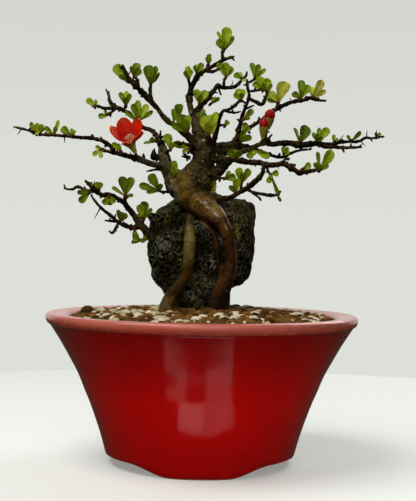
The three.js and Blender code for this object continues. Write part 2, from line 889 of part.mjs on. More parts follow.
// Leaves: each cluster has the seat of its spur and its blades as [x, y, z, width, turn],
// with x, y, z from the seat to the blade's tip, and the turn in degrees out of the picture plane.
const leafClusters = {
  left_long_tip: {
    seat: [-79.8, -15.6, 157.4],
    blades: [[-1.8, -1, 3.8, 2, 20], [1.8, 0.5, 3.4, 2.2, 0], [2.2, -2.4, -1.2, 1.8, 0]],
  },
  left_long_outer: {
    seat: [-71, -15, 156.8],
    blades: [[-4.3, -0.6, 2.4, 2.2, 0], [2.2, 0.6, 5.8, 1.5, 20]],
  },
  left_long_middle: {
    seat: [-63, -14.4, 156.4],
    blades: [[-4.4, -1, 2.8, 3, 0], [1.6, 1.4, 2, 1.5, 20]],
  },
  left_mid_tip: {
    seat: [-49.6, -14.2, 148.8],
    blades: [[-3, -0.6, -2.4, 2, 0], [0.4, -1.6, -3.4, 1.8, 20], [-1.8, 0.6, 2, 1.8, 0]],
  },
  left_limb_top: {
    seat: [-16.2, -3.3, 151.7],
    blades: [[-2, -1, 6.4, 3.6, 0], [2.2, 0.8, 3, 1.9, 20]],
  },
  left_limb_foot: {
    seat: [-14.2, -1.6, 138.2],
    blades: [[0.3, -0.8, 7.2, 2.4, 0], [-1.6, -2.2, 4, 2, 0], [1.8, 0.6, 3.4, 1.8, 30]],
  },
  left_thorny_tip: {
    seat: [-55.4, 16.8, 173.8],
    blades: [[-3.4, -1, 3.2, 2.6, 0], [0.8, 1.6, 3, 1.6, 30]],
  },
  left_thorny_upper: {
    seat: [-39.6, 16.3, 174.6],
    blades: [[-3, -1, 5.6, 2.1, 0], [-0.6, 1.2, 6.6, 2.3, 0], [1.9, -0.8, 5, 2, 0], [0, -3, 2.6, 1.8, 0]],
  },
  left_thorny_inner: {
    seat: [-33, 13, 167.2],
    blades: [
      [-0.6, 1.4, 9.4, 2.6, 0],
      [-2.6, -2.4, 6.8, 2.8, 0],
      [4.2, 0.4, 7, 2.9, 0],
      [7.2, -1.8, 3, 1.9, 20],
      [-6.4, -1.6, 3.4, 2.3, 10],
    ],
  },
  left_upper_spur: {
    seat: [-25.6, -15.6, 180.9],
    blades: [
      [-1.6, -0.8, 8, 4.2, 0],
      [2.2, 1.4, 8.2, 2.5, 20],
      [4.6, -0.8, 4, 1.6, 30],
      [-0.4, -3, 2.4, 1.8, 0],
    ],
  },
  left_upper_tip: {
    seat: [-33.3, -18, 184.2],
    blades: [[0.8, 1.2, 5.8, 3.2, 0], [2.8, -2.2, 2.2, 3, 0], [-1, -2, 3.4, 1.9, 0]],
  },
  left_upper_outer: {
    seat: [-37.2, -18.9, 181.4],
    blades: [[-5.6, -0.6, 6.6, 4.2, 0], [-2.6, -2.8, 1.8, 1.9, 0]],
  },
  leader_left: {
    seat: [-12.8, -2.2, 168],
    blades: [[-0.2, -1, 4.6, 3.6, 0], [-2.8, 0.8, 2.2, 1.9, 0]],
  },
  leader_left_spur: {
    seat: [-8.6, 2, 186.2],
    blades: [[-0.4, -0.6, 5.4, 2.3, 0], [2, 1, 4, 1.7, 20]],
  },
  leader_knee: {
    seat: [-4.4, 2.4, 189.3],
    blades: [[-0.2, 1, 3.6, 1.9, 0], [2.6, -0.8, 3.8, 2.5, 0]],
  },
  leader_top: {
    seat: [8.5, 1, 200.5],
    blades: [
      [1.9, -0.4, 10.2, 4.2, 0],
      [-2.8, 1.4, 8.6, 1.7, 20],
      [5.4, 0.8, 5.4, 1.8, 20],
      [-3.4, -1.4, 3.6, 2.8, 0],
      [1, -3, 2.8, 1.9, 0],
    ],
  },
  inner_back_spur: {
    seat: [10, 20, 190.2],
    blades: [
      [-2.8, -0.8, 4.6, 2.6, 0],
      [0.6, -1.6, 6, 3.1, 0],
      [3.4, 0.8, 4.2, 2.5, 0],
      [-0.4, 2.8, 3.4, 2.1, 0],
    ],
  },
  leader_inner: {
    seat: [-2.9, 4.6, 174.8],
    blades: [[-1.4, -1.4, 5.8, 3.2, 0], [2.8, -0.6, 5.6, 3.2, 0], [0.6, -3.2, 2.6, 2.1, 0]],
  },
  inner_back_tip: {
    seat: [17.6, 24, 189.8],
    blades: [[-3.2, -1, 1.8, 2.6, 0], [1.4, -3, -1.8, 2.1, 0], [-1, 1.6, 3, 2.1, 0]],
  },
  right_leader_top: {
    seat: [23.7, -9.1, 185.5],
    blades: [[-1.4, 0.6, 7, 2.3, 0], [1.5, -1.2, 5.6, 2.3, 0], [4.6, 0.8, 4, 1.6, 20]],
  },
  right_leader_side: {
    seat: [27.3, -9.6, 179.9],
    blades: [
      [-1.4, -1, 5.6, 3.3, 0],
      [2.6, -0.6, 4.6, 3.2, 0],
      [4.4, 0.4, 2, 2.2, 0],
      [-4.2, 0.6, 3.2, 3, 0],
      [0.4, -3, 2, 2.2, 0],
    ],
  },
  right_leader_hook: {
    seat: [29.5, -3, 179.2],
    blades: [[1.4, -0.6, 2.8, 1.6, 0], [-1.4, -1.6, 2, 1.5, 0]],
  },
  right_leader_low: {
    seat: [18.9, -6, 165.6],
    blades: [[3.8, -1.4, 4.4, 2.4, 0]],
  },
  right_fork: {
    seat: [17.6, -3.2, 155.6],
    blades: [[4.2, -1.8, 2.2, 2.6, 0], [0.8, -2, 3.6, 2.3, 0]],
  },
  front_arch: {
    seat: [16.4, -22.4, 173.6],
    blades: [
      [-1.4, 0.4, 4.2, 2.7, 0],
      [1.4, -0.6, 3.8, 2.4, 0],
      [-3.2, -1.4, 1.4, 2.1, 0],
      [0.4, -3, 1.6, 1.9, 0],
    ],
  },
  front_centre: {
    seat: [2, -8.4, 158.4],
    blades: [
      [-3.4, -1.4, 7.4, 3.8, 0],
      [0, 1.6, 9, 3.9, 0],
      [4.2, -0.2, 9.8, 3.6, 0],
      [-0.4, -3.8, 4.4, 2.7, 0],
      [3.6, -2.8, 4, 2.4, 0],
    ],
  },
  left_inner: {
    seat: [-8.6, -7, 159.4],
    blades: [
      [-4.6, -2.2, 7.4, 3.4, 0],
      [-6.4, -3.6, 3.2, 3, 0],
      [0, 0.4, 7.6, 3, 0],
      [-1.2, -4, 4.6, 2.9, 0],
    ],
  },
  crown_back: {
    seat: [-3.2, 18.4, 168.2],
    blades: [[-3.2, 1, 4.6, 3, 0], [1.8, 1.6, 5.2, 3.2, 0], [-0.4, 4, 3, 2.6, 0], [3.6, -0.6, 2.4, 2.2, 0]],
  },
  right_upper_spur: {
    seat: [35.4, 15.2, 177.4],
    blades: [
      [3.2, -0.6, 9.6, 5.4, 0],
      [-3.8, -1.2, 4.2, 3.6, 0],
      [-5, 0.4, 0.6, 2.2, 0],
      [-1.4, 2.6, 3.2, 2, 0],
    ],
  },
  right_upper_middle: {
    seat: [47.6, 21.6, 180.4],
    blades: [
      [-3.8, -0.8, 2, 2.7, 0],
      [1, 0.8, 8.4, 3.2, 0],
      [4.2, -1, 5.6, 2.8, 0],
      [0.4, -3.2, 2.6, 2.2, 0],
    ],
  },
  right_upper_tip: {
    seat: [54.6, 23.8, 180.8],
    blades: [[4, -0.6, 8.4, 3.3, 0], [-1.2, 1.4, 5.4, 2.8, 0], [5.4, -1, 3.4, 2.1, 0]],
  },
  right_tip_outer: {
    seat: [72.6, 15.2, 158.8],
    blades: [[4.8, -0.8, 3.6, 2, 10]],
  },
  right_long_outer: {
    seat: [55.2, 7.6, 157.6],
    blades: [[5.4, -1, 5.4, 3.5, 0], [0.8, 1.4, 6.2, 1.7, 20], [2, -2.8, 1, 2.2, 0]],
  },
  right_long_middle: {
    seat: [46.4, 5.4, 156.8],
    blades: [[-2.2, 0.4, 6.4, 1.8, 20], [3.9, -0.8, 6.8, 4.8, 0]],
  },
  right_limb_outer: {
    seat: [39.6, 15.6, 151],
    blades: [[2, -1.4, 1.2, 2, 0], [-0.8, -0.6, 3.6, 1.7, 0]],
  },
  right_long_inner: {
    seat: [23.8, -3.6, 149.9],
    blades: [[7.2, -1.8, -2.2, 2.8, 0], [-2.4, -1.6, -2.8, 2.8, 0]],
  },
  right_lower_tip: {
    seat: [54, -20.2, 141.6],
    blades: [[6, -0.8, 8, 3.8, 0], [-2.6, -1.6, 2.4, 1.9, 0], [-1, 1, 8, 1.8, 20]],
  },
  right_hanger: {
    seat: [31.8, -16.3, 137.6],
    blades: [[-1.8, -1, -3, 2.1, 0], [3, -0.8, 1.8, 2.6, 0], [3.6, -0.4, -8.8, 1.7, 20]],
  },
  right_drop_spur: {
    seat: [17.9, -13.2, 135.7],
    blades: [[-2.2, -0.8, 5.8, 3.1, 0], [3.6, -0.6, 5.4, 2.8, 0], [0.4, -3.4, 3, 2.2, 0]],
  },
  right_drop_foot: {
    seat: [14.8, -12.6, 130.6],
    blades: [[0.4, -2.6, 5.6, 3.1, 0], [-2.4, -1.6, 2.6, 2, 0]],
  },
  right_lower_foot: {
    seat: [14.6, -9, 147.4],
    blades: [[-3, -1.6, 2.2, 2.9, 0], [2, -2.6, 2, 2.9, 0], [-0.6, 1, 3.4, 2.2, 0]],
  },
  right_dark_twig: {
    seat: [10.8, -11.3, 137.2],
    blades: [[4, -1, 0.5, 3.2, 0], [1.4, -0.8, 2.6, 1.8, 0]],
  },
  left_spray: {
    seat: [-21.9, -11, 131],
    blades: [[-8.6, -1.2, 1.9, 2.9, 0], [-3.8, -0.8, 7, 3.6, 0], [1.4, -2.4, 2.2, 2, 0]],
  },
  left_lower_side: {
    seat: [-55.4, -9.4, 128.4],
    blades: [[-4.8, -0.4, 0.2, 1.9, 0], [-3.6, -1.4, -3.8, 2.9, 0]],
  },
  left_lower_middle: {
    seat: [-45.2, -6.2, 126.4],
    blades: [[-2.4, -1, -2.8, 2.7, 0], [2.4, -1.2, -2, 2.7, 0], [0, 1.4, -3.2, 2.3, 0]],
  },
  left_lower_spur: {
    seat: [-37.6, -3.2, 129.3],
    blades: [[-1.6, -0.8, 8, 3.7, 0], [2.8, 0.6, 7.8, 3.2, 0], [-6.6, -0.4, 2.8, 1.8, 20]],
  },
  left_lower_inner: {
    seat: [-29.2, 2.8, 118.2],
    blades: [[-2.2, -1.4, 5.8, 3.1, 0], [0.8, 0.4, 7.6, 3.5, 0], [4.4, -1.6, 3.8, 1.7, 20]],
  },
};

// Half of a blade's outline as [share of length, share of half width]. The upper and lower faces take
// points in turn, so the edge runs in blunt teeth.
const upperOutline = [[0.03, 0.1], [0.46, 0.72], [0.92, 0.74]];
const lowerOutline = [[0, 0], [0.2, 0.25], [0.73, 1.06], [1, 0]];

function blade(middle, [x, y, z, width, turn]) {
  const along = at(x, y, z).normalize();
  const seat = middle.clone().addScaledVector(along, bladeRoot);
  const length = Math.hypot(x, y, z) - bladeRoot;
  const across = along.clone().cross(towardsViewer).normalize().applyAxisAngle(along, turn * degrees);
  const face = across.clone().cross(along);
  const arch = 0.12 * length;
  const place = ([share, half], side, height) => {
    const halfWidth = half > 0 ? Math.max(leafStalkHalfWidth, (half * width) / 2) : 0;
    return seat
      .clone()
      .addScaledVector(along, share * length)
      .addScaledVector(across, side * halfWidth)
      .addScaledVector(face, height - arch * share * share);
  };
  const upper = [];
  const lower = [];
  for (const point of upperOutline) upper.push(place(point, 1, bladeThickness / 2));
  for (const point of [...upperOutline].reverse()) upper.push(place(point, -1, bladeThickness / 2));
  for (const point of lowerOutline) lower.push(place(point, 1, -bladeThickness / 2));
  for (const point of lowerOutline.slice(1, -1).reverse()) {
    lower.push(place(point, -1, -bladeThickness / 2));
  }
  const count = upper.length;
  const triangles = [];
  for (let i = 0; i < count; i++) {
    const next = (i + 1) % count;
    triangles.push(count + i, count + next, i, i, count + next, next);
  }
  for (let i = 0; i + 1 < count / 2; i++) {
    const mirror = count - 1 - i;
    triangles.push(i, i + 1, mirror, i + 1, mirror - 1, mirror);
  }
  triangles.push(count, 2 * count - 1, count + 1);
  for (let i = 1; i + 1 < count / 2; i++) {
    const mirror = 2 * count - i;
    triangles.push(count + i, mirror, count + i + 1, count + i + 1, mirror, mirror - 1);
  }
  triangles.push(count + count / 2 - 1, count + count / 2 + 1, count + count / 2);
  return closedSolid([...upper, ...lower], triangles);
}

// The bud that carries the blades, pointed at both ends.
function leafBud(seat, direction) {
  const across = Math.abs(direction.z) < 0.9 ? at(0, 0, 1) : at(1, 0, 0);
  across.cross(direction).normalize();
  const side = direction.clone().cross(across);
  const ring = [];
  for (let s = 0; s < leafBudSides; s++) {
    const angle = (s / leafBudSides) * 2 * Math.PI;
    ring.push(
      seat
        .clone()
        .addScaledVector(across, leafBudRadius * Math.cos(angle))
        .addScaledVector(side, leafBudRadius * Math.sin(angle)),
    );
  }
  const back = seat.clone().addScaledVector(direction, -1.1);
  const front = seat.clone().addScaledVector(direction, 2);
  return skin([ring], back, front);
}

// A cluster sits on the bark with a small gap: it is moved out until it is clear, or cut where it can't be.
function makeLeafCluster({ seat, blades }, wood) {
  const step = 0.2;
  const furthest = 1.4;
  const direction = at(0, 0, 0);
  for (const [x, y, z] of blades) direction.add(at(x, y, z));
  direction.normalize();
  const clusterAt = (middle) => {
    const leaves = blades.map((leaf) => blade(middle, leaf));
    return union([leafBud(middle, direction), ...leaves]);
  };
  for (let rise = 0; rise <= furthest; rise += step) {
    const cluster = clusterAt(at(...seat).addScaledVector(direction, rise));
    if (cluster.intersect(wood).isEmpty()) return cluster;
  }
  return largestBody(clusterAt(at(...seat).addScaledVector(direction, step)).subtract(wood));
}

// Flower: five cupped petals round an axis, from which the calyx and the stamens are set.
const flowerSeat = at(-34.6, -10.9, 152.6);
const flowerAxis = at(-0.25, -0.2, 0.947).normalize();
const petalAngles = [250, 322, 178, 34, 106];

function petalPoint(share, side, angle, inset) {
  const radius = 1 + (flowerRadius - 1) * Math.sin(Math.min(1, 1.15 * share) * 90 * degrees) - inset;
  const free = 3.9 * Math.sqrt(Math.sin((0.06 + 0.87 * share) * Math.PI));
  const halfWidth = Math.min(free, petalSpread * radius);
  const turn = angle * degrees + (side * halfWidth) / Math.max(radius, 2.6);
  const height = petalHeight * (1 - 0.12 * side * side * share) * share ** 1.12 + 0.4 * inset;
  return at(radius * Math.cos(turn), radius * Math.sin(turn), height);
}

// A curved sheet from rows of outer and inner points, closed round its edge.
function sheet(rows, columns, outer, inner) {
  const points = [];
  for (const surface of [outer, inner]) {
    for (let r = 0; r <= rows; r++) {
      for (let c = 0; c <= columns; c++) points.push(surface(r / rows, (2 * c) / columns - 1));
    }
  }
  const back = (rows + 1) * (columns + 1);
  const index = (r, c) => r * (columns + 1) + c;
  const triangles = [];
  const quad = (a, b, c, d) => triangles.push(a, b, c, a, c, d);
  for (let r = 0; r < rows; r++) {
    for (let c = 0; c < columns; c++) {
      quad(index(r, c), index(r, c + 1), index(r + 1, c + 1), index(r + 1, c));
      quad(back + index(r, c), back + index(r + 1, c), back + index(r + 1, c + 1), back + index(r, c + 1));
    }
    quad(index(r, 0), index(r + 1, 0), back + index(r + 1, 0), back + index(r, 0));
    quad(index(r + 1, columns), index(r, columns), back + index(r, columns), back + index(r + 1, columns));
  }
  for (let c = 0; c < columns; c++) {
    quad(index(0, c + 1), index(0, c), back + index(0, c), back + index(0, c + 1));
    quad(index(rows, c), index(rows, c + 1), back + index(rows, c + 1), back + index(rows, c));
  }
  return closedSolid(points, triangles);
}

function makePetals() {
  const petals = petalAngles.map((angle) =>
    sheet(
      3,
      3,
      (share, side) => petalPoint(share, side, angle, 0),
      (share, side) => petalPoint(share, side, angle, petalThickness),
    ),
  );
  const base = turned([[0, -0.3], [1.2, -0.3], [2, 0.5], [1.4, 0.9], [0, 0.9]], 8);
  return placed(union([base, ...petals]), flowerSeat, flowerAxis);
}

function makeFlowerCalyx(wood) {
  const cup = turned([[0, -5.2], [0.9, -5.2], [1.15, -3.4], [1.9, -0.7], [0, -0.7]], 6);
  const sepals = petalAngles.map((angle) =>
    sheet(
      2,
      1,
      (share, side) => sepalPoint(share, side, angle + 36, 0),
      (share, side) => sepalPoint(share, side, angle + 36, 0.65),
    ),
  );
  return largestBody(placed(union([cup, ...sepals]), flowerSeat, flowerAxis).subtract(wood));
}

function sepalPoint(share, side, angle, inset) {
  const radius = 1.9 + 3.1 * share - inset;
  const halfWidth = 1.35 * (1 - 0.75 * share);
  const turn = angle * degrees + (side * halfWidth) / radius;
  return at(radius * Math.cos(turn), radius * Math.sin(turn), -1.3 + 3.1 * share);
}

function makeStamens() {
  const random = seededRandom(19);
  const parts = [turned([[0, 1.2], [1, 1.2], [0.8, 2], [0, 2.2]], 6)];
  const stamenCount = 6;
  for (let i = 0; i < stamenCount; i++) {
    const angle = (i / stamenCount) * 2 * Math.PI;
    const reach = i % 2 ? 1.5 : 2.6;
    const height = 6 + 1.4 * random();
    const foot = [0.5 * Math.cos(angle), 0.5 * Math.sin(angle), 1.5, 0.42];
    const tip = [reach * Math.cos(angle), reach * Math.sin(angle), height, 0.7];
    const neck = [0.8 * tip[0], 0.8 * tip[1], height - 1.2, 0.38];
    parts.push(limb([foot, neck, tip], 3, 0, () => 0.5));
  }
  return placed(union(parts), flowerSeat, flowerAxis);
}

// Buds: [seat, axis, length, radius].
const flowerBuds = [
  { seat: [27.9, -2, 156.9], axis: [0.05, -0.02, 1], length: 10.2, radius: 2.05 },
  { seat: [30.1, 1.6, 162], axis: [0.14, 0, 1], length: 9.8, radius: 2.4 },
];

// The folded petals: a globe of five lobes above the calyx.
function makeBudPetals({ seat, axis, length, radius }) {
  const sides = 10;
  const profile = [[0.55, 0.56], [0.92, 0.63], [1, 0.76], [0.82, 0.9], [0.42, 0.98]];
  const rings = profile.map(([width, height]) => {
    const ring = [];
    for (let s = 0; s < sides; s++) {
      const reach = radius * width * (s % 2 ? 0.93 : 1.03);
      const angle = (s / sides) * 2 * Math.PI + 0.8 * height;
      ring.push(at(reach * Math.cos(angle), reach * Math.sin(angle), height * length));
    }
    return ring;
  });
  return placed(skin(rings, at(0, 0, 0.53 * length), at(0, 0, length)), at(...seat), at(...axis));
}

function makeBudCalyx({ seat, axis, length, radius }, wood) {
  const top = 0.53 * length - gap;
  const profile = [[0, 0], [0.42, 0], [0.52, 0.3], [0.85, 0.68], [0.95, 1], [0, 1]];
  const calyx = turned(
    profile.map(([width, height]) => [width * radius, height * top]),
    7,
  );
  return largestBody(placed(calyx, at(...seat), at(...axis)).subtract(wood));
}

function material(color, roughness, metalness = 0) {
  return new THREE.MeshStandardMaterial({ color, roughness, metalness });
}

const redGlaze = material(0x8c0a08, 0.18);
const blackMesh = material(0x1c1c1c, 0.6);
const gravel = material(0x6b5638, 0.95);
const lava = material(0x1d1c19, 0.9);
const bark = material(0x3b2a1c, 0.55);
const leafGreen = material(0x5a7d18, 0.5);
const petalRed = material(0xc81e0e, 0.45);
const calyxGreen = material(0x8c9a4a, 0.5);
const stamenYellow = material(0xd9b84a, 0.6);
const budRed = material(0xa81420, 0.4);

const bonsai = new THREE.Group();

function add(name, solid, look) {
  const mesh = new THREE.Mesh(geometryOf(solid), look);
  mesh.name = name;
  bonsai.add(mesh);
}

const wood = makeWood(0);
const woodWithGap = makeWood(gap);
add("pot", makePot(), redGlaze);
add("drain_screen", makeScreen(), blackMesh);
add("soil", makeSoil(woodWithGap, makeRock(gap)), gravel);
add("rock", largestBody(makeRock(0).subtract(woodWithGap)), lava);
add("tree", wood, bark);
for (const [name, cluster] of Object.entries(leafClusters)) {
  add("leaves_" + name, makeLeafCluster(cluster, woodWithGap), leafGreen);
}
add("flower_petals", makePetals(), petalRed);
add("flower_calyx", makeFlowerCalyx(woodWithGap), calyxGreen);
add("flower_stamens", makeStamens(), stamenYellow);
flowerBuds.forEach((bud, i) => {
  add(`bud_${i + 1}_petals`, makeBudPetals(bud), budRed);
  add(`bud_${i + 1}_calyx`, makeBudCalyx(bud, woodWithGap), calyxGreen);
});

export default bonsai;
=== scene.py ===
import math
import random

import bpy
from mathutils import Matrix, Vector, kdtree, noise
from mathutils.bvhtree import BVHTree


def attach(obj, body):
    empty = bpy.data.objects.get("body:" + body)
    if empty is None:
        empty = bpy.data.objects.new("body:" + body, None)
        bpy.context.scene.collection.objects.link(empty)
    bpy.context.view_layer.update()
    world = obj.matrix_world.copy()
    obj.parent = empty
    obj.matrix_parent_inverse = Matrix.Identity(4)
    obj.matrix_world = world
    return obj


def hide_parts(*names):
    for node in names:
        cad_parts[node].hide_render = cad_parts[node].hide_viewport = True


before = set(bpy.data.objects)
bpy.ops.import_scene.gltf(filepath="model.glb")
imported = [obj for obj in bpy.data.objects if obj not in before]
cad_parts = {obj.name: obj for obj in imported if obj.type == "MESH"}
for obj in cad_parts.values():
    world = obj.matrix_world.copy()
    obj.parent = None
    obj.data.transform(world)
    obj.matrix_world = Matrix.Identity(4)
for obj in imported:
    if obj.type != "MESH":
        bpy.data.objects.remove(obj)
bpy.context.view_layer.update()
bpy.ops.object.select_all(action="DESELECT")
mm = 0.001  # every length below is in millimetres, and goes into the scene in metres
up = Vector((0, 0, 1))
goldenTurn = 2.39996  # radians from one grain or stamen to the next, which fills a round evenly
fullTurn = 6.28  # the reach of a random turn, in radians
print("frame loaded,", len(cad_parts), "solids")

# the photograph's own view: almost level, from over half a metre away
viewpoint = {"place": (2.4, -550, 106), "pitch": -0.38, "roll": 0.95, "lens": 81.7, "sensor": 36}


def inMetres(point):
    return Vector(point[:3]) * mm


def setCamera():
    bpy.ops.object.camera_add(location=inMetres(viewpoint["place"]))
    camera = bpy.context.object
    tilt = Matrix.Rotation(math.radians(90 + viewpoint["pitch"]), 3, "X")
    roll = Matrix.Rotation(math.radians(viewpoint["roll"]), 3, "Z")
    camera.rotation_euler = (tilt @ roll).to_euler()
    camera.data.lens = viewpoint["lens"]
    camera.data.sensor_width = viewpoint["sensor"]
    camera.data.clip_start = 0.01
    bpy.context.scene.camera = camera


setCamera()
print("camera set")


def paint(red, green, blue):  # a screen colour, 0 to 255, as the shader's own
    parts = [v / 255 for v in (red, green, blue)]
    return tuple(v / 12.92 if v <= 0.04 else ((v + 0.055) / 1.055) ** 2.4 for v in parts) + (1,)


class Wire:  # what leaves a node; arithmetic on it adds Math nodes
    def __init__(self, sheet, socket):
        self.sheet = sheet
        self.socket = socket

    def maths(self, operation, *values):
        return self.sheet.add("Math", {"operation": operation}, dict(enumerate(values)))

    def __add__(self, other):
        return self.maths("ADD", self, other)

    def __radd__(self, other):
        return self.maths("ADD", other, self)

    def __sub__(self, other):
        return self.maths("SUBTRACT", self, other)

    def __rsub__(self, other):
        return self.maths("SUBTRACT", other, self)

    def __mul__(self, other):
        return self.maths("MULTIPLY", self, other)

    def __rmul__(self, other):
        return self.maths("MULTIPLY", other, self)

    def __truediv__(self, other):
        return self.maths("DIVIDE", self, other)

    def __neg__(self):
        return self.maths("MULTIPLY", self, -1)

    def __abs__(self):
        return self.maths("ABSOLUTE", self)

    def sine(self):
        return self.maths("SINE", self)

    def rise(self, start, end):  # 0 before start, 1 after end, smooth between
        inputs = {"Value": self, "From Min": start, "From Max": end}
        return self.sheet.add("MapRange", {"interpolation_type": "SMOOTHSTEP"}, inputs)


class Sheet:  # the node sheet of a material or of the world
    def __init__(self, owner):
        owner.use_nodes = True
        self.tree = owner.node_tree

    def join(self, value, socket):
        if isinstance(value, Wire):
            self.tree.links.new(value.socket, socket)
        else:
            socket.default_value = value

    def add(self, kind, settings=None, inputs=None, output=0):
        node = self.tree.nodes.new("ShaderNode" + kind)
        for name, value in (settings or {}).items():
            if name == "stops":
                node.color_ramp.elements[1].position = value[-1][0]
                for position, _ in value[1:-1]:
                    node.color_ramp.elements.new(position)
                for element, (position, colour) in zip(node.color_ramp.elements, value):
                    element.position = position
                    element.color = colour
            else:
                setattr(node, name, value)
        for name, value in (inputs or {}).items():
            self.join(value, node.inputs[name])
        return Wire(self, node.outputs[output])

    def place(self):
        return self.add("TexCoord", output="Object")

    def axis(self, vector, name):
        return self.add("SeparateXYZ", {}, {0: vector}, name)

    def scaled(self, vector, x, y, z):
        return self.add("VectorMath", {"operation": "MULTIPLY"}, {0: vector, 1: (x, y, z)})

    def mottle(self, size, vector=None, detail=3, roughness=0.5):  # soft noise, blobs of size mm
        inputs = {"Vector": vector or self.place(), "Scale": 1000 / size}
        inputs.update({"Detail": detail, "Roughness": roughness})
        return self.add("TexNoise", {}, inputs)

    def cells(self, size):  # how far the nearest cell's middle is, for cells of size mm
        inputs = {"Vector": self.place(), "Scale": 1000 / size}
        return self.add("TexVoronoi", {}, inputs, "Distance")

    def blend(self, share, first, second):
        return self.add("Mix", {"data_type": "RGBA"}, {0: share, 6: first, 7: second}, 2)

    def steps(self, value, *stops):  # a ramp of colours
        return self.add("ValToRGB", {"stops": stops}, {0: value})

    def value(self, name, output="Fac"):  # what was kept on the mesh's points
        return self.add("Attribute", {"attribute_name": name}, output=output)


class Finish(Sheet):  # a material: fixed values on its shader, and what varies joined to it
    def __init__(self, name, **fixed):
        self.material = bpy.data.materials.new(name)
        super().__init__(self.material)
        self.shader = self.tree.nodes["Principled BSDF"]
        for socket, value in fixed.items():
            self.shader.inputs[socket.replace("_", " ")].default_value = value

    def surface(self, colour=None, roughness=None, relief=None, height=0.1, coat=None):
        if colour is not None:
            self.join(colour, self.shader.inputs["Base Color"])
        if roughness is not None:
            self.join(roughness, self.shader.inputs["Roughness"])
        if coat is not None:
            self.join(coat, self.shader.inputs["Coat Weight"])
        if relief is not None:  # height in mm
            bump = self.add("Bump", {}, {"Height": relief, "Distance": height * mm, "Strength": 1})
            self.join(bump, self.shader.inputs["Normal"])
        return self.material


room = {
    "floorReach": 400,
    "paperReach": 900,  # the paper behind the floor lies flat this far, then turns up into the wall
    "wallReach": 1300,
    "wallHeight": 1500,
    "bendSteps": 8,
    "floorColour": paint(222, 224, 219),
    "floorGlow": (0.26, 0.266, 0.254, 1),
    "wallLow": paint(221, 224, 217),
    "wallHigh": paint(212, 214, 208),
    "skyBehind": (0.74, 0.75, 0.72, 1),
    "skyFront": (0.01, 0.01, 0.01, 1),
    "skyAbove": (0.24, 0.24, 0.23, 1),
    "skyBelow": (0.05, 0.04, 0.03, 1),
}
lamps = {  # place, aim, width, height, watts, colour
    "ceilingWindow": ((-300, -260, 760), (0, 0, 110), 560, 400, 4.4, (1, 0.985, 0.95)),
    "frontWindow": ((30, -800, 520), (0, 0, 60), 560, 90, 1.5, (1, 1, 1)),
    "backWindow": ((420, 520, 620), (0, 0, 120), 500, 500, 2.4, (0.97, 0.99, 1)),
}
# a narrow beam that falls on the pot and hardly on the tree
lowWindow = ((30, -760, 40), (0, 0, 30), 420, 60, 0.062, (1, 1, 1))
lowSpread = 9  # degrees
panes = {  # light from below that only the glaze mirrors: x, y, width, depth and watts
    "rightPane": (18.5, -77.5, 26, 21, 0.0009),
    "leftPane": (-8, -75, 24, 13, 0.0009),
    "farPane": (-25.5, -84, 22, 8, 0.00025),
}


def makeRoom():
    bpy.ops.mesh.primitive_circle_add(vertices=96, radius=room["floorReach"] * mm, fill_type="NGON")
    floor = bpy.context.object
    floor.name = "floor"
    cover = Finish("paleFloor", Roughness=0.9, Specular_IOR_Level=0, Emission_Strength=1)
    cover.shader.inputs["Emission Color"].default_value = room["floorGlow"]
    colour = cover.blend(cover.mottle(400), room["floorColour"], paint(217, 219, 214))
    floor.data.materials.append(cover.surface(colour))
    bpy.ops.mesh.primitive_circle_add(vertices=96, radius=room["floorReach"] * mm)
    wall = bpy.context.object
    wall.name = "wall"
    bpy.ops.object.mode_set(mode="EDIT")
    bpy.ops.mesh.select_mode(type="EDGE")
    bpy.ops.mesh.select_all(action="SELECT")
    before = room["floorReach"]
    bend, steps = room["wallReach"] - room["paperReach"], room["bendSteps"]
    for i in range(steps + 1):
        turn = i / steps * math.pi / 2
        reach = room["paperReach"] + bend * math.sin(turn)
        rise = bend * (math.cos(turn - math.pi / 2 / steps) - math.cos(turn)) if i else 0
        bpy.ops.mesh.extrude_edges_move(TRANSFORM_OT_translate={"value": (0, 0, rise * mm)})
        wider = reach / before
        bpy.ops.transform.resize(value=(wider, wider, 1), center_override=(0, 0, 0))
        before = reach
    bpy.ops.mesh.extrude_edges_move(TRANSFORM_OT_translate={"value": (0, 0, room["wallHeight"] * mm)})
    bpy.ops.object.mode_set(mode="OBJECT")
    bpy.ops.object.shade_smooth()
    paper = Finish("palePaper", Base_Color=(0, 0, 0, 1), Specular_IOR_Level=0, Emission_Strength=1)
    height = paper.axis(paper.place(), "Z")
    glow = paper.blend(height.rise(0.1, 0.55), room["wallLow"], room["wallHigh"])
    paper.join(glow, paper.shader.inputs["Emission Color"])
    wall.data.materials.append(paper.material)
    for part in (floor, wall):  # only the camera sees them
        part.visible_glossy = part.visible_diffuse = part.visible_shadow = False


def lightRoom():
    scene = bpy.context.scene
    scene.view_settings.view_transform = "Standard"
    scene.world = bpy.data.worlds.new("room")
    sheet = Sheet(scene.world)
    way = sheet.add("TexCoord", output="Generated")
    behind = sheet.axis(way, "Y").rise(0.62, 0.78)
    above = sheet.axis(way, "Z").rise(0.4, 1.0)
    sky = sheet.blend(behind, room["skyFront"], room["skyBehind"])
    sky = sheet.blend(above, sky, room["skyAbove"])
    sky = sheet.blend((-sheet.axis(way, "Z")).rise(0, 0.15), sky, room["skyBelow"])
    sheet.join(sky, sheet.tree.nodes["Background"].inputs["Color"])
    for name, settings in lamps.items():
        addLamp(name, *settings)
    low = addLamp("lowWindow", *lowWindow)
    low.data.spread = math.radians(lowSpread)
    low.visible_glossy = False
    for name, (x, y, width, depth, watts) in panes.items():
        pane = addLamp(name, (x, y, 2), (x, y, 100), width, depth, watts, (1, 1, 1))
        pane.visible_camera = False
        pane.visible_diffuse = False


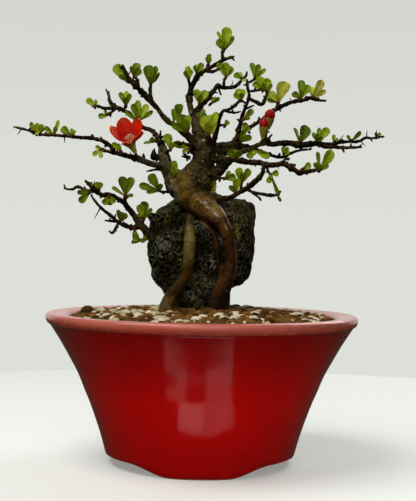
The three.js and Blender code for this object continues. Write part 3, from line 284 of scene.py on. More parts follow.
def addLamp(name, place, aim, width, height, watts, colour):
    bpy.ops.object.light_add(type="AREA", location=inMetres(place))
    lamp = bpy.context.object
    lamp.name = name
    lamp.rotation_euler = (inMetres(aim) - inMetres(place)).to_track_quat("-Z", "Y").to_euler()
    lamp.data.shape = "RECTANGLE"
    lamp.data.size = width * mm
    lamp.data.size_y = height * mm
    lamp.data.energy = watts
    lamp.data.color = colour
    return lamp


makeRoom()
lightRoom()
print("room lit")


# what the pieces below share
def makeActive(obj):
    bpy.ops.object.select_all(action="DESELECT")
    obj.select_set(True)
    bpy.context.view_layer.objects.active = obj


def applyModifier(obj, kind, **settings):
    makeActive(obj)
    modifier = obj.modifiers.new(kind.title(), kind)
    for name, value in settings.items():
        setattr(modifier, name, value)
    bpy.ops.object.modifier_apply(modifier=modifier.name)


def joinAll(name, objs):
    bpy.ops.object.select_all(action="DESELECT")
    for obj in objs:
        obj.select_set(True)
    bpy.context.view_layer.objects.active = objs[0]
    if len(objs) > 1:
        bpy.ops.object.join()
    objs[0].name = name
    return objs[0]


def copyOf(obj, matrix=None):
    twin = obj.copy()
    twin.data = obj.data.copy()
    if matrix:
        twin.data.transform(matrix)
    bpy.context.collection.objects.link(twin)
    return twin


def weld(obj, reach=0.01 * mm):  # points nearer than reach become one, and all faces point outwards
    makeActive(obj)
    bpy.ops.object.mode_set(mode="EDIT")
    bpy.ops.mesh.select_all(action="SELECT")
    bpy.ops.mesh.remove_doubles(threshold=reach)
    bpy.ops.mesh.select_all(action="SELECT")
    bpy.ops.mesh.normals_make_consistent(inside=False)
    bpy.ops.object.mode_set(mode="OBJECT")


def smoothShade(obj, angle=60):
    makeActive(obj)
    bpy.ops.object.shade_smooth_by_angle(angle=math.radians(angle))


def finishPiece(obj, name, material=None, nodes=()):
    obj.name = name
    obj.data.name = name
    if material:
        obj.data.materials.clear()
        obj.data.materials.append(material)
    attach(obj, "root")
    if nodes:
        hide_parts(*nodes)


def softLine(points, parts=4):  # a smooth line through the points, parts steps for each stretch
    line = []
    last = len(points) - 1
    for i in range(last):
        around = [points[max(0, min(last, i + k))] for k in (-1, 0, 1, 2)]
        before, start, end, after = (Vector(point) for point in around)
        for step in range(parts):
            t = step / parts
            pull = start * 2 + (end - before) * t
            pull += (before * 2 - start * 5 + end * 4 - after) * t * t
            pull += (start * 3 - before - end * 3 + after) * t**3
            line.append(pull / 2)
    return line + [Vector(points[-1])]


def spinProfile(name, profile, steps):  # profile points are radius and height
    bpy.ops.mesh.primitive_plane_add(size=mm)
    obj = bpy.context.object
    bpy.ops.object.mode_set(mode="EDIT")
    bpy.ops.mesh.select_mode(type="VERT")
    bpy.ops.mesh.select_all(action="SELECT")
    bpy.ops.mesh.merge(type="CENTER")
    bpy.ops.transform.translate(value=(profile[0][0] * mm, 0, profile[0][1] * mm))
    for (radius, height), (nextRadius, nextHeight) in zip(profile, profile[1:]):
        move = ((nextRadius - radius) * mm, 0, (nextHeight - height) * mm)
        bpy.ops.mesh.extrude_region_move(TRANSFORM_OT_translate={"value": move})
    bpy.ops.mesh.select_all(action="SELECT")
    bpy.ops.mesh.spin(steps=steps, angle=2 * math.pi, center=(0, 0, 0), axis=(0, 0, 1))
    bpy.ops.object.mode_set(mode="OBJECT")
    obj.name = name
    weld(obj)
    return obj


def spinSmall(name, profile, steps=20):  # for a small piece, in millimetres until it is placed
    obj = spinProfile(name, profile, steps)
    obj.data.transform(Matrix.Scale(1000, 4))
    return obj


def bendSheet(rows, columns, surface):  # a grid bent to the surface, with its shares kept as UV
    bpy.ops.mesh.primitive_grid_add(x_subdivisions=columns, y_subdivisions=rows, size=2)
    sheet = bpy.context.object
    layer = sheet.data.uv_layers.active or sheet.data.uv_layers.new(name="UVMap")
    for loop in sheet.data.loops:
        x, y, _ = sheet.data.vertices[loop.vertex_index].co
        layer.data[loop.index].uv = ((x + 1) / 2, (y + 1) / 2)
    for vertex in sheet.data.vertices:
        vertex.co = surface((vertex.co.y + 1) / 2, vertex.co.x)
    return sheet


def addBall(x, y, z, radius):
    place, size = inMetres((x, y, z)), radius * mm
    bpy.ops.mesh.primitive_uv_sphere_add(segments=24, ring_count=12, radius=size, location=place)
    bpy.ops.object.transform_apply()
    return bpy.context.object


def meltTogether(obj, voxel, rounds):  # one skin over all that was joined, smoothed so many rounds
    applyModifier(obj, "REMESH", mode="VOXEL", voxel_size=voxel * mm)
    applyModifier(obj, "SMOOTH", factor=0.5, iterations=rounds)


def setValues(obj, name, values):
    layer = obj.data.attributes.new(name, "FLOAT", "POINT")
    layer.data.foreach_set("value", values)


def setColours(obj, name, colours):
    layer = obj.data.attributes.new(name, "FLOAT_COLOR", "POINT")
    layer.data.foreach_set("color", [part for colour in colours for part in colour])


def smoothStep(value, start, end):
    share = max(0, min(1, (value - start) / (end - start)))
    return share * share * (3 - 2 * share)


def ripple(place, size, seed=0):
    return noise.noise(place / size + Vector((seed, 2 * seed, 3 * seed)))


pot = {  # the outlines are radius and height, from the foot up over the lip and down inside
    "wall": [
        (45.6, 5.1), (48.4, 15), (53, 28.1), (56.3, 36),
        (59.4, 43.5), (63.6, 51.3), (68, 59), (73.1, 66.9),
    ],
    "lip": [
        (73.7, 67.1), (74.6, 68.1), (75, 69.8), (74.5, 71.3),
        (73, 72), (69, 71.8), (65.6, 71.2), (64.5, 70.2),
    ],
    "inside": [
        (64.3, 69), (63.6, 66), (62.2, 60), (57.6, 51),
        (53.6, 43), (47.3, 28), (42.4, 15), (39, 11.5),
    ],
    "floor": [(34, 10.5), (6.4, 10.3), (6, 9.9), (6, 5.6), (6.4, 5.2), (38.8, 5.2)],
    "foot": [
        (39.3, 4.8), (39.3, 2.4), (39.3, 0.5), (39.7, 0),
        (43.3, 0), (44.2, 0.4), (44.9, 1.2), (45.3, 3),
    ],
    "steps": 144,
    "footTop": 5.2,
    "footInside": 39,
    "archHeight": 4.7,
    "flatFoot": 17,  # degrees to each side of a foot's middle
    "archStart": 46,
    "footAngles": (-90, 30, 150),
    "glazeEdge": 67.0,
    "redLow": paint(158, 0, 1),
    "redMiddle": paint(172, 0, 1),
    # painted shade: the red is darker just under the lip, where the overhang shades the wall
    "redShadedUnderLip": paint(150, 0, 1),
    "lipSide": paint(190, 66, 44),
    # the lip's own pale salmon glaze, painted paler on top as painted light from above
    "lipTopLit": paint(190, 100, 86),
    "clay": paint(168, 128, 92),
}


def makePot():
    profile = softLine(pot["wall"], 5) + softLine(pot["lip"], 4) + softLine(pot["inside"], 2)
    profile += [Vector(p) for p in pot["floor"] + pot["foot"]] + [Vector(pot["wall"][0])]
    body = spinProfile("pot", profile, pot["steps"])
    for vertex in body.data.vertices:  # the foot ring is cut away in three low arches
        x, y, z = vertex.co / mm
        if z < pot["footTop"] - 0.05 and math.hypot(x, y) > pot["footInside"]:
            angle = math.degrees(math.atan2(y, x))
            apart = min(abs((angle - foot + 180) % 360 - 180) for foot in pot["footAngles"])
            arch = pot["archHeight"] * smoothStep(apart, pot["flatFoot"], pot["archStart"])
            vertex.co.z = (arch + z * (pot["footTop"] - arch) / pot["footTop"]) * mm
    smoothShade(body, 50)
    finishPiece(body, "flared_pot", glazeFinish(), ["pot"])


def glazeFinish():
    glaze = Finish("redGlaze", Coat_Roughness=0.08, IOR=1.4)
    place = glaze.place()
    height = glaze.axis(place, "Z") * 1000
    streaks = glaze.mottle(9, glaze.scaled(place, 1, 1, 0.25), 2)
    cloud = glaze.mottle(26, detail=2)
    # the red by height; its top stop is painted shade under the lip
    red = glaze.steps(
        (height + cloud * 10 - 5) / 70,
        (0.0, pot["redLow"]),
        (0.5, pot["redMiddle"]),
        (0.93, pot["redShadedUnderLip"]),
    )
    red = glaze.blend(streaks.rise(0.42, 0.75) * 0.25, red, paint(184, 4, 3))
    # the lip painted paler towards its top as painted light on the roll, then given worn patches
    lipLitAndWorn = glaze.blend((height + cloud * 3).rise(68.6, 72.5), pot["lipSide"], pot["lipTopLit"])
    worn = glaze.mottle(3.5, detail=4).rise(0.45, 0.7)
    lipLitAndWorn = glaze.blend(worn * 0.35, lipLitAndWorn, paint(208, 116, 96))
    runs = glaze.mottle(5, glaze.scaled(place, 1, 1, 0), 3)
    lip = (height + runs * 1.6).rise(pot["glazeEdge"] + 0.55, pot["glazeEdge"] + 1.15)
    colour = glaze.blend(lip, red, lipLitAndWorn)
    edge = glaze.mottle(2, detail=3)
    nearFoot = 1 - (height + edge * 0.8 - 0.4).rise(0.35, 0.75)
    scrape = glaze.mottle(0.9, glaze.scaled(place, 1, 1, 3.5), 2).rise(0.74, 0.78)
    colour = glaze.blend(scrape * 0.35, colour, paint(214, 120, 110))
    colour = glaze.blend(nearFoot, colour, pot["clay"])
    peel = glaze.mottle(1.5, detail=2) + glaze.mottle(4.2, detail=1) * 1.6
    relief = peel * 0.055 + scrape * 0.01
    roughness = 0.12 + lip * 0.12 + nearFoot * 0.6 + glaze.mottle(7).rise(0.5, 0.8) * 0.08
    return glaze.surface(colour, roughness, relief, 1, 0.25 - 0.25 * nearFoot)


makePot()
print("pot thrown")


# the net over the drain hole, hidden under the soil
screen = {"radius": 11, "height": 10.95, "cells": 14, "wire": 0.45, "edge": 0.6}


def makeScreen():
    cells, size = screen["cells"], 2 * screen["radius"] * mm
    bpy.ops.mesh.primitive_grid_add(x_subdivisions=cells, y_subdivisions=cells, size=size)
    net = bpy.context.object
    net.data.transform(Matrix.Translation((0, 0, screen["height"] * mm)))
    bpy.ops.object.mode_set(mode="EDIT")
    bpy.ops.mesh.select_mode(type="FACE")
    bpy.ops.mesh.select_all(action="DESELECT")
    bpy.ops.object.mode_set(mode="OBJECT")
    for polygon in net.data.polygons:
        polygon.select = polygon.center.xy.length > (screen["radius"] - screen["edge"]) * mm
    bpy.ops.object.mode_set(mode="EDIT")
    bpy.ops.mesh.delete(type="FACE")
    bpy.ops.object.mode_set(mode="OBJECT")
    applyModifier(net, "WIREFRAME", thickness=screen["wire"] * mm, use_boundary=True)
    smoothShade(net, 40)
    plastic = Finish("meshPlastic", Roughness=0.55)
    grey = plastic.blend(plastic.mottle(3), paint(22, 22, 22), paint(48, 47, 44))
    plastic.surface(grey, None, plastic.mottle(0.6), 0.05)
    finishPiece(net, "drain_mesh", plastic.material, ["drain_screen"])


makeScreen()
print("drain net laid")


# the wood: each limb is a path of x, y, z and radius
trunkAndRoots = {
    "trunkAndRightRoot": [(3.2, 0, 153.5, 4.6), (2.3, 0, 150.5, 5.9), (0.4, 0, 147.3, 5.6),
        (-1.3, 0, 143.7, 5.7), (-2.9, -0.5, 140.2, 7), (-4.5, -1, 136.3, 8.7),
        (-5.4, -2, 131.9, 9.8), (-4.4, -3.5, 127.8, 9.1), (-1.9, -5.7, 124.5, 7.5),
        (1.7, -8.3, 122, 5.8), (5.6, -10.7, 119.3, 4.5), (10, -12.7, 113.3, 3.4),
        (12.4, -13.7, 105.6, 2.75), (13.3, -14, 98.5, 2.9), (12.3, -13.8, 92, 3.3),
        (9.1, -13.4, 86.3, 3), (6.8, -13, 80.4, 3.1), (5.7, -13, 75, 3.6), (5.2, -13, 68, 3.5)],
    "leftRoot": [(-6.6, 0, 123, 3.6), (-6.6, -5, 119.5, 2.7), (-6.4, -8.8, 116, 2.4),
        (-6.3, -11.4, 111.6, 2.8), (-6.1, -13, 106, 3.2), (-6.4, -13.4, 99.7, 2.9),
        (-6.9, -13.2, 93.9, 2.5), (-8.3, -12.8, 89.5, 2.4), (-10.8, -12.2, 85.9, 2.6),
        (-13.9, -11.4, 82, 2.8), (-15.9, -11, 78.4, 3.1), (-17.2, -11, 74.5, 3.4),
        (-18, -11, 68, 3.2)],
    "middleRoot": [(-1.5, -4, 119, 2.6), (0, -8.6, 114.6, 1.9), (3.4, -10.6, 111.6, 1.8),
        (5.8, -11.6, 107.5, 1.8), (6.9, -12.2, 101.8, 1.8), (7.6, -12.6, 96.9, 1.8),
        (9.4, -12.6, 91.5, 2)],
    "behindRightRoot": [(13, -11, 99, 2.2), (13.7, -9.8, 93, 2.2), (12.4, -9.2, 88.3, 2.3),
        (11.3, -9.6, 83.4, 2.3), (10.6, -10, 78.6, 2.4), (10.2, -10.5, 74.5, 2.6),
        (10, -10.5, 68, 2.6)],
    "backLeftRoot": [(-7, 4, 127, 5), (-9.5, 13, 123, 3.6), (-10.5, 21, 115, 3),
        (-9.5, 24, 104, 2.6), (-7.5, 24, 92, 2.5), (-7, 21.5, 81, 2.6), (-8, 19.5, 74, 2.9),
        (-8.5, 19, 68, 2.7)],
    "backRightRoot": [(0, 5, 125, 4.4), (6, 14, 122.5, 3.2), (11, 21, 114, 2.6),
        (12.5, 24, 102, 2.3), (10.5, 23.5, 90, 2.3), (8.5, 20, 79, 2.5), (8.5, 18.5, 74, 2.7),
        (8.5, 18, 68, 2.5)],
}
branches = {
    "leader": [(1.2, 0, 151, 4.6), (-0.9, 0, 154.6, 4.2), (-2.9, 0, 158.3, 3.4),
        (-4.4, 1, 163.1, 2.6), (-6, 2, 167.9, 2.2), (-7.5, 3, 172.7, 2), (-7.5, 3, 177.5, 1.9),
        (-7.2, 4, 181, 1.8), (-5.3, 4, 184.9, 1.8), (-3.9, 4, 187.4, 1.8), (-0.5, 3, 189.8, 1.6),
        (4.3, 2, 192.4, 1.4), (7.6, 1, 194.4, 1.4), (11.5, 0, 195.7, 1.2), (13.4, 0, 196.3, 0.9)],
    "leaderTopSpur": [(8.1, 1, 194.6, 1.3), (7.8, 1, 198.1, 1.2), (8.5, 1, 200, 1)],
    "leaderLeftSpur": [(-6.9, 4, 181.5, 1.3), (-8.1, 3, 183.8, 1.2), (-8.5, 2.2, 185.7, 0.9)],
    "leaderRightShoot": [(0.4, 3, 189.4, 1.2), (3.4, 0, 188.9, 1.1), (6.3, -2, 189.8, 1)],
    "leaderLeftTwig": [(-5.5, 1.6, 166, 1.2), (-7.9, -1, 166.4, 1), (-12.3, -2, 167.6, 0.8)],
    "innerBack": [(-6.3, 2, 168.5, 1.8), (-2.3, 7, 173.1, 1.7), (2.1, 12, 178.2, 1.6),
        (4, 15, 181.7, 1.6), (6, 17, 184.4, 1.7), (8, 19, 183.8, 1.5), (11.5, 21, 184.1, 1.4),
        (14.6, 23, 185, 1.4), (18.1, 25, 188.6, 1.2), (20.2, 26, 191, 1.1), (20.6, 26, 193, 0.8)],
    "innerBackSpur": [(8.8, 19.5, 183.9, 1.2), (9, 20, 187, 1), (9.9, 20, 189.6, 0.8)],
    "rightLeader": [(13.2, -1, 152.7, 2.4), (15.5, -2, 156, 2.2), (15.9, -3, 159.7, 1.9),
        (16.9, -4, 163.5, 1.6), (17.6, -5, 166.8, 1.4), (19.1, -6, 171, 1.3),
        (20.8, -7, 176.6, 1.2), (20.2, -7.5, 179.4, 1.1), (19.7, -8, 182.2, 1),
        (19.6, -8, 184.2, 0.8)],
    "rightLeaderTip": [(19.7, -8, 182.6, 0.9), (22, -8.7, 183.4, 0.9), (23.5, -9, 185, 0.8)],
    "rightLeaderSide": [(20.6, -7.5, 178.6, 1), (23.4, -8.5, 178.8, 0.9), (27, -9.5, 179.4, 0.8)],
    "rightLeaderHook": [(20.7, -6.8, 175.3, 1.3), (24.2, -5, 173.9, 1.2), (27, -4, 172.9, 1.5),
        (28.6, -3, 175.5, 1.2), (29.4, -3, 178.6, 0.9)],
    "frontArch": [(3.9, -4, 153.6, 1.9), (6.1, -11, 160.7, 1.4), (7, -14, 165, 1.3),
        (8.3, -16, 167.9, 1.2), (11.1, -18, 168.5, 1.2), (13.8, -20, 170.2, 1.2),
        (16.5, -22, 172.2, 1), (18.4, -23, 171.2, 0.8)],
    "frontCentreSpur": [(2, -2.5, 153.5, 2), (2.2, -6.5, 156, 1.3), (2, -8, 157.8, 1)],
    "crownBackTwig": [(0.5, 2, 154, 2.2), (0.5, 9, 159, 1.6), (-2, 14, 163, 1.2), (-3, 18, 167.5, 0.8)],
    "rightLimb": [(3.5, 0, 151, 3.6), (8.3, 0, 152.2, 2.7), (12.2, 0, 153.2, 2.4),
        (16.1, 0, 153.2, 2.3), (20, 1.5, 152.8, 2), (24, 4.5, 152.2, 1.6), (28.1, 8, 151.1, 1.4),
        (32.2, 11, 150, 1.3), (36.5, 14, 149.1, 1.2), (39.5, 16, 149.5, 1.3), (43, 18, 151.5, 1.2),
        (47.7, 20, 153.2, 1), (53.4, 22, 153.9, 0.7)],
    "rightUpper": [(14.6, 0, 155.2, 2.1), (20.4, 6, 161.7, 1.5), (26.5, 10, 166.1, 1.4),
        (31, 13, 169.9, 1.5), (37.7, 17, 174.6, 1.6), (41.7, 19, 176.6, 1.5),
        (44.9, 21, 177.8, 1.5), (49, 22, 178.6, 1.5), (52.5, 23, 179.8, 1.5),
        (56.7, 24.5, 179, 1.2), (60.9, 26, 179, 0.9)],
    "rightUpperSpur": [(36, 15.8, 173.5, 1.2), (35.5, 15.4, 176.7, 0.9)],
    "rightLong": [(8.3, -2, 150, 2.2), (16, -3, 149.6, 1.9), (20, -2.5, 150.7, 1.8),
        (23.3, -2, 152.2, 1.8), (26.6, -1, 154, 1.8), (29.5, 0, 155.1, 1.9), (32.5, 1, 154.3, 1.8),
        (36.5, 2.5, 155, 1.8), (41.4, 4, 155.2, 1.9), (46.4, 6, 154.7, 2), (51.5, 7.5, 155.2, 2),
        (55.6, 8.5, 155.6, 1.8), (58.9, 8, 154.2, 1.5), (63.6, 7, 154, 1.3), (68.5, 6, 153.6, 1.2),
        (73.1, 5, 153.8, 1.1), (76.5, 4, 153.9, 0.7)],
    "rightTip": [(56.5, 8.6, 155.5, 1.6), (63.3, 11, 155.8, 1.4), (67.3, 13, 156.9, 1.4),
        (71.5, 15, 157.5, 1.2), (75.2, 16.5, 157.6, 1.1), (77.8, 17.5, 158.5, 1.1),
        (80, 18, 159.8, 1), (83.5, 18.7, 159.7, 0.9), (86.1, 19.3, 160.3, 0.9),
        (89.8, 20, 161, 0.5)],
    "firstBudSpur": [(26.8, -1, 154, 1.3), (27.8, -1.9, 156.3, 1)],
    "secondBudSpur": [(28.9, 0.2, 155.2, 1.2), (30, 1.5, 161.2, 0.9)],
    "rightStub": [(28.4, -0.6, 154.6, 1.3), (32.4, -1.6, 158.8, 0.7)],
    "rightLimbUnder": [(2.5, -1, 136.8, 3), (6.5, -2, 140.6, 2.8), (9.5, -4, 143.6, 2.5),
        (12.5, -6, 145.8, 2)],
    "rightLower": [(4, -2, 146.6, 2.4), (11, -6, 146, 2), (17, -9, 145.4, 1.9),
        (21.6, -11, 144.5, 1.8), (26.2, -12.5, 144.3, 1.8), (30, -14, 143.2, 1.8),
        (33.7, -15, 143.3, 1.8), (37, -16, 143.8, 1.8), (40.2, -17, 141.9, 1.8),
        (42.6, -17.5, 140.7, 1.7), (44.4, -18, 139.6, 1.8), (46.7, -18.5, 140, 1.7),
        (49.4, -19, 140.3, 1.5), (53.1, -20, 141.2, 1)],
    "rightLowerHanger": [(29.4, -13.8, 143, 1.2), (30, -15, 140.3, 0.9), (31.5, -16, 138.2, 0.8)],
    "rightDrop": [(2.4, -5, 129.6, 2.4), (8.6, -8, 127.4, 1.8), (12.4, -10, 127.8, 1.6),
        (16.1, -11.5, 129.7, 1.6), (19.9, -13, 132, 1.7), (23.5, -14, 134.7, 1.8),
        (26.2, -15.5, 137.5, 1.8), (27.7, -17, 140.4, 1.4), (27.2, -18, 142.6, 0.9)],
    "rightDropTwig": [(20.2, -13, 132, 1.3), (22.6, -14, 130.5, 1.2), (24.9, -15, 129.8, 1.1),
        (27.8, -16, 129.3, 1.2), (31.1, -17, 128.8, 1.3), (35.2, -18, 129.1, 0.8)],
    "rightDropSpur": [(17.3, -12, 130.4, 1.2), (17.8, -13, 135, 0.8)],
    "rightDarkTwig": [(1.5, -4, 140, 1.7), (6, -8, 137.7, 1.2), (8.3, -10, 136.9, 1),
        (10.2, -11, 137.1, 0.8)],
    "leftUpper": [(-2.5, -1, 153, 3), (-8.7, -4, 157.5, 2.2), (-12.9, -7, 160.7, 1.9),
        (-20, -11, 165.5, 1.7), (-22.8, -12.5, 169.5, 1.7), (-27.9, -15, 174.4, 1.9),
        (-30.8, -16, 177.4, 1.6), (-33.5, -17.5, 180, 2), (-35.9, -18.5, 182.1, 1.6),
        (-37.2, -19.5, 184.8, 1.2), (-38.9, -20, 188.4, 0.7)],
    "leftUpperSpur": [(-25.7, -14, 172.4, 1.5), (-26, -15, 177.6, 1.3), (-25.7, -15.5, 180.4, 1)],
    "leftUpperTipSpur": [
        (-31.2, -16.2, 177.8, 1.3), (-32.2, -17.5, 181.9, 1), (-33.2, -18, 183.6, 0.8)],
    "leftInnerTwig": [(-2, -2, 150.5, 2), (-8.1, -6, 152.8, 1.4), (-14.2, -8, 153.6, 0.8)],
    "leftLimb": [(-11.5, 0, 130, 4.2), (-14.9, 0.3, 133, 3.8), (-16.7, 1, 137.5, 3.2),
        (-18.6, 2, 143, 3.2), (-19.7, 3, 148.3, 2.9), (-21, 4, 153, 2.3), (-22.4, 5, 156.6, 1.8)],
    "leftLimbSnag": [(-22, 4.2, 153.5, 1.4), (-21.6, 3.6, 160.3, 0.7)],
    "leftLimbTwig": [(-20.9, 3, 148.5, 1.3), (-17.8, -1, 149.8, 0.9), (-16.3, -3, 151.2, 0.8)],
    "leftLimbLowTwig": [(-19, 1.5, 141.2, 1.2), (-22.9, -2, 141, 0.9), (-27.6, -5, 139.8, 0.6)],
    "leftThorny": [(-22.6, 4.8, 155.4, 1.7), (-24.6, 7, 159.2, 1.6), (-27.2, 9, 161.2, 1.6),
        (-30.8, 12, 162.6, 1.5), (-33.9, 14, 166, 1.4), (-37.6, 16, 169.1, 1.5),
        (-41.8, 18, 172.1, 1.6), (-45.4, 20, 173.4, 1.6), (-48.2, 21, 176.6, 1.5),
        (-48.7, 22, 179.2, 1.1), (-50.4, 23, 182.6, 0.6)],
    "leftThornySide": [(-45, 20, 173.2, 1.5), (-50.9, 19, 172.5, 1.3), (-53.3, 18, 173.3, 1.1),
        (-55.7, 17, 173.5, 0.8)],
    "leftThornyLow": [(-44.6, 19.6, 173, 1.2), (-47.3, 18.5, 170.3, 1.1), (-49.2, 17.5, 169.4, 0.8)],
    "leftThornySpur": [(-40.6, 17.6, 171.6, 1.1), (-39.8, 16.6, 174.2, 0.9)],
    "leftMid": [(-18, -0.5, 140.6, 2.4), (-22.4, -3, 142.8, 2.2), (-27.6, -6, 144.1, 2),
        (-32.1, -9, 145.7, 1.9), (-38.8, -11, 147.2, 1.7), (-43.3, -12.5, 148.1, 1.5),
        (-48.8, -14, 148.9, 0.9)],
    "flowerSpur": [(-32.1, -9, 145.8, 1.4), (-32.6, -9.7, 147.9, 1.1)],
    "leftLong": [(-42.6, -12.3, 148, 1.6), (-45.6, -12.7, 151.9, 1.5), (-51, -13.3, 154.1, 1.4),
        (-59, -14, 154.7, 1.25), (-68.3, -14.7, 155.4, 1.1), (-78.6, -15.3, 156, 1),
        (-83.2, -15.7, 157.5, 0.9), (-89.9, -16, 159, 0.6)],
    "leftSpray": [(-12.5, -3, 130.4, 1.6), (-17.3, -5.5, 130.2, 1.1), (-20.1, -8, 130, 1),
        (-21.6, -10.6, 130.7, 0.8)],
    "leftLower": [(-9, 3, 127, 3.4), (-15.5, 9, 123, 3), (-20.5, 11.6, 118, 2.8),
        (-23.5, 11, 112.5, 2.8), (-26, 8, 109.3, 2.6), (-28.9, 6, 112.4, 2.3),
        (-31.8, 4, 115.8, 2.1), (-34.3, 2, 119.5, 1.9), (-36.6, 0, 122.4, 1.8),
        (-38.6, -1, 124.8, 1.8), (-41.4, -3, 126.6, 1.6), (-45.1, -5, 128.3, 1.6),
        (-48.3, -6, 128, 1.6), (-51.2, -7, 129.8, 1.6), (-53.5, -8, 131.8, 1.5),
        (-55.3, -8.5, 133.4, 1.2), (-56.6, -9, 134.8, 0.8)],
    "leftLowerSide": [(-50.9, -7, 129.6, 1.4), (-56.2, -9, 130.1, 1.2), (-60.3, -10.5, 131.6, 1.1),
        (-62.2, -11, 130.4, 1), (-66.3, -12, 130.7, 0.6)],
    "leftLowerUnder": [(-30.3, 5, 114, 2), (-34.1, 5, 112.9, 1.8), (-37.5, 4, 113.6, 1.6),
        (-40.9, 3, 115, 1.4), (-45.4, 2, 118.8, 1.3), (-49.7, 1, 122.1, 1.1),
        (-52.7, 0, 125.5, 0.9), (-54.7, 0, 128.3, 0.6)],
    "leftLowerHanger": [(-41.4, 3, 115, 1.2), (-42.8, 2, 112.1, 1), (-44.2, 1.2, 110.1, 1),
        (-45.7, 1, 111.1, 0.6)],
    "leftLowerSpur": [(-38, -0.6, 124, 1.5), (-38, -2, 126.9, 1.2), (-37.6, -3, 128.8, 0.9)],
    "leftLowerInnerSpur": [(-30.2, 5, 114, 1.5), (-29.3, 3, 117.6, 0.9)],
}
stubs = {
    "leaderStub": [(-7.6, 2.6, 171.5, 1.3), (-9.5, 2, 177.5, 0.9)],
    "innerBackStub": [(6.2, 17, 183.6, 1), (7.2, 15, 180.4, 0.7)],
    "innerBackLowStub": [(1.6, 11, 178, 1), (1.6, 10, 180.5, 0.8)],
    "rightLeaderStub": [(18.8, -6, 170.2, 0.9), (23.2, -7.5, 172, 0.6)],
    "rightLowerStub": [(36.6, -15.8, 143.6, 1.2), (43, -13.5, 143.5, 0.9)],
    "rightLowerLink": [(36.3, -15.4, 143.8, 1.1), (38.4, -14, 146.2, 0.8), (40.3, -12.5, 146.6, 0.6)],
    "leftUpperStub": [(-27.8, -14.8, 174.2, 1.2), (-30.5, -13, 174.8, 0.8)],
    "rightDropStub": [(22.6, -14, 130.3, 1), (26.9, -12.5, 127.3, 0.7)],
    "leftLowerUnderStub": [(-42, 2.8, 115.6, 1.1), (-48, 3.4, 116.1, 0.7)],
    "leftMidNub": [(-28.6, -6.6, 144.4, 1.2), (-29.2, -7, 148, 0.7)],
    "frontArchTwig": [(9.2, -16.5, 168, 0.9), (13.5, -18, 167.1, 0.8), (16.7, -18.5, 167.6, 0.6)],
    "frontArchTwiglet": [(6.2, -11.5, 161.5, 1), (9.9, -14, 162, 0.7)],
    "leaderSmallSpur": [(0.4, 2.7, 190, 1.1), (0.9, 2.5, 193.6, 0.7)],
    "leftLimbGall": [(-22.6, 3, 146, 1.6), (-24.4, 2.4, 147.6, 2.2), (-24.8, 2.6, 150.4, 1.4)],
}
thorns = [  # foot and tip
    (-82.2, -15.6, 157.2, -81.4, -16.6, 161.6), (-86, -15.9, 158.2, -87.8, -17, 155.2),
    (-50, 1, 122.3, -52.9, -0.5, 116.4), (-66, -14.4, 155.2, -66.2, -12.6, 152.2),
    (65, 12, 156.2, 68.6, 11, 160.6), (80.6, 18.2, 159.6, 80.9, 18.6, 163.6),
    (85.4, 19.2, 160.2, 85.6, 17.6, 163.8), (-36.4, -19, 183.6, -34.6, -17, 186.8),
    (12.8, 22, 184.6, 13.6, 20, 187.6), (-53, -7.8, 131.4, -52, -9.6, 134.6),
    (62, 7.3, 154.2, 61, 5, 151.4), (77.4, 17.4, 158.3, 80.2, 18.4, 155.6),
    (43, 20, 177.4, 42.2, 23, 180), (-34, -9.8, 146.2, -35.6, -8, 149), (34, -15, 143.4, 35, -18, 141),
]
wood = {
    "fineness": 6,
    "voxel": 0.5,
    "trunkSides": 24,
    "twigSides": 10,
    "spurSides": 6,
    "ringLength": 0.65,  # of a twig, from one ring of points to the next
    "burls": [
        (-1.5, -1.6, 152.6, 4),
        (4.4, -1.2, 150.2, 3.2),
        (-3.8, -1.6, 149.8, 2.6),
        (1.2, 3, 152.5, 4.2),
    ],
    "thickStart": 1.9,  # a branch is one with the trunk as far out as it is this thick
    "slimming": 0.64,  # what is left of the radius of the finest twigs
    "fineTwig": 1.3,
    "fullLimb": 2.9,  # from this radius on, a limb keeps all of it
    "spurLimit": 2.3,  # no spur stands on a thicker twig
    "knobSpacing": 3.6,
    "thornFoot": 0.45,
    "oldRadius": 2.2,  # a twig this thick has old bark
}
snags = [  # bunches of short dead spurs: place, reach and count
    (-6, -2.5, 151, 4.2, 16),
    (-8.6, -2, 147.5, 3, 9),
    (1.8, -3.6, 155.2, 3.2, 12),
    (5.4, -3, 158, 2.4, 7),
    (8.6, -1.5, 146, 4, 16),
    (11.6, -2.6, 149, 3.4, 12),
    (7.6, 2, 151, 3.6, 8),
    (-3, 4, 154, 3.6, 8),
]
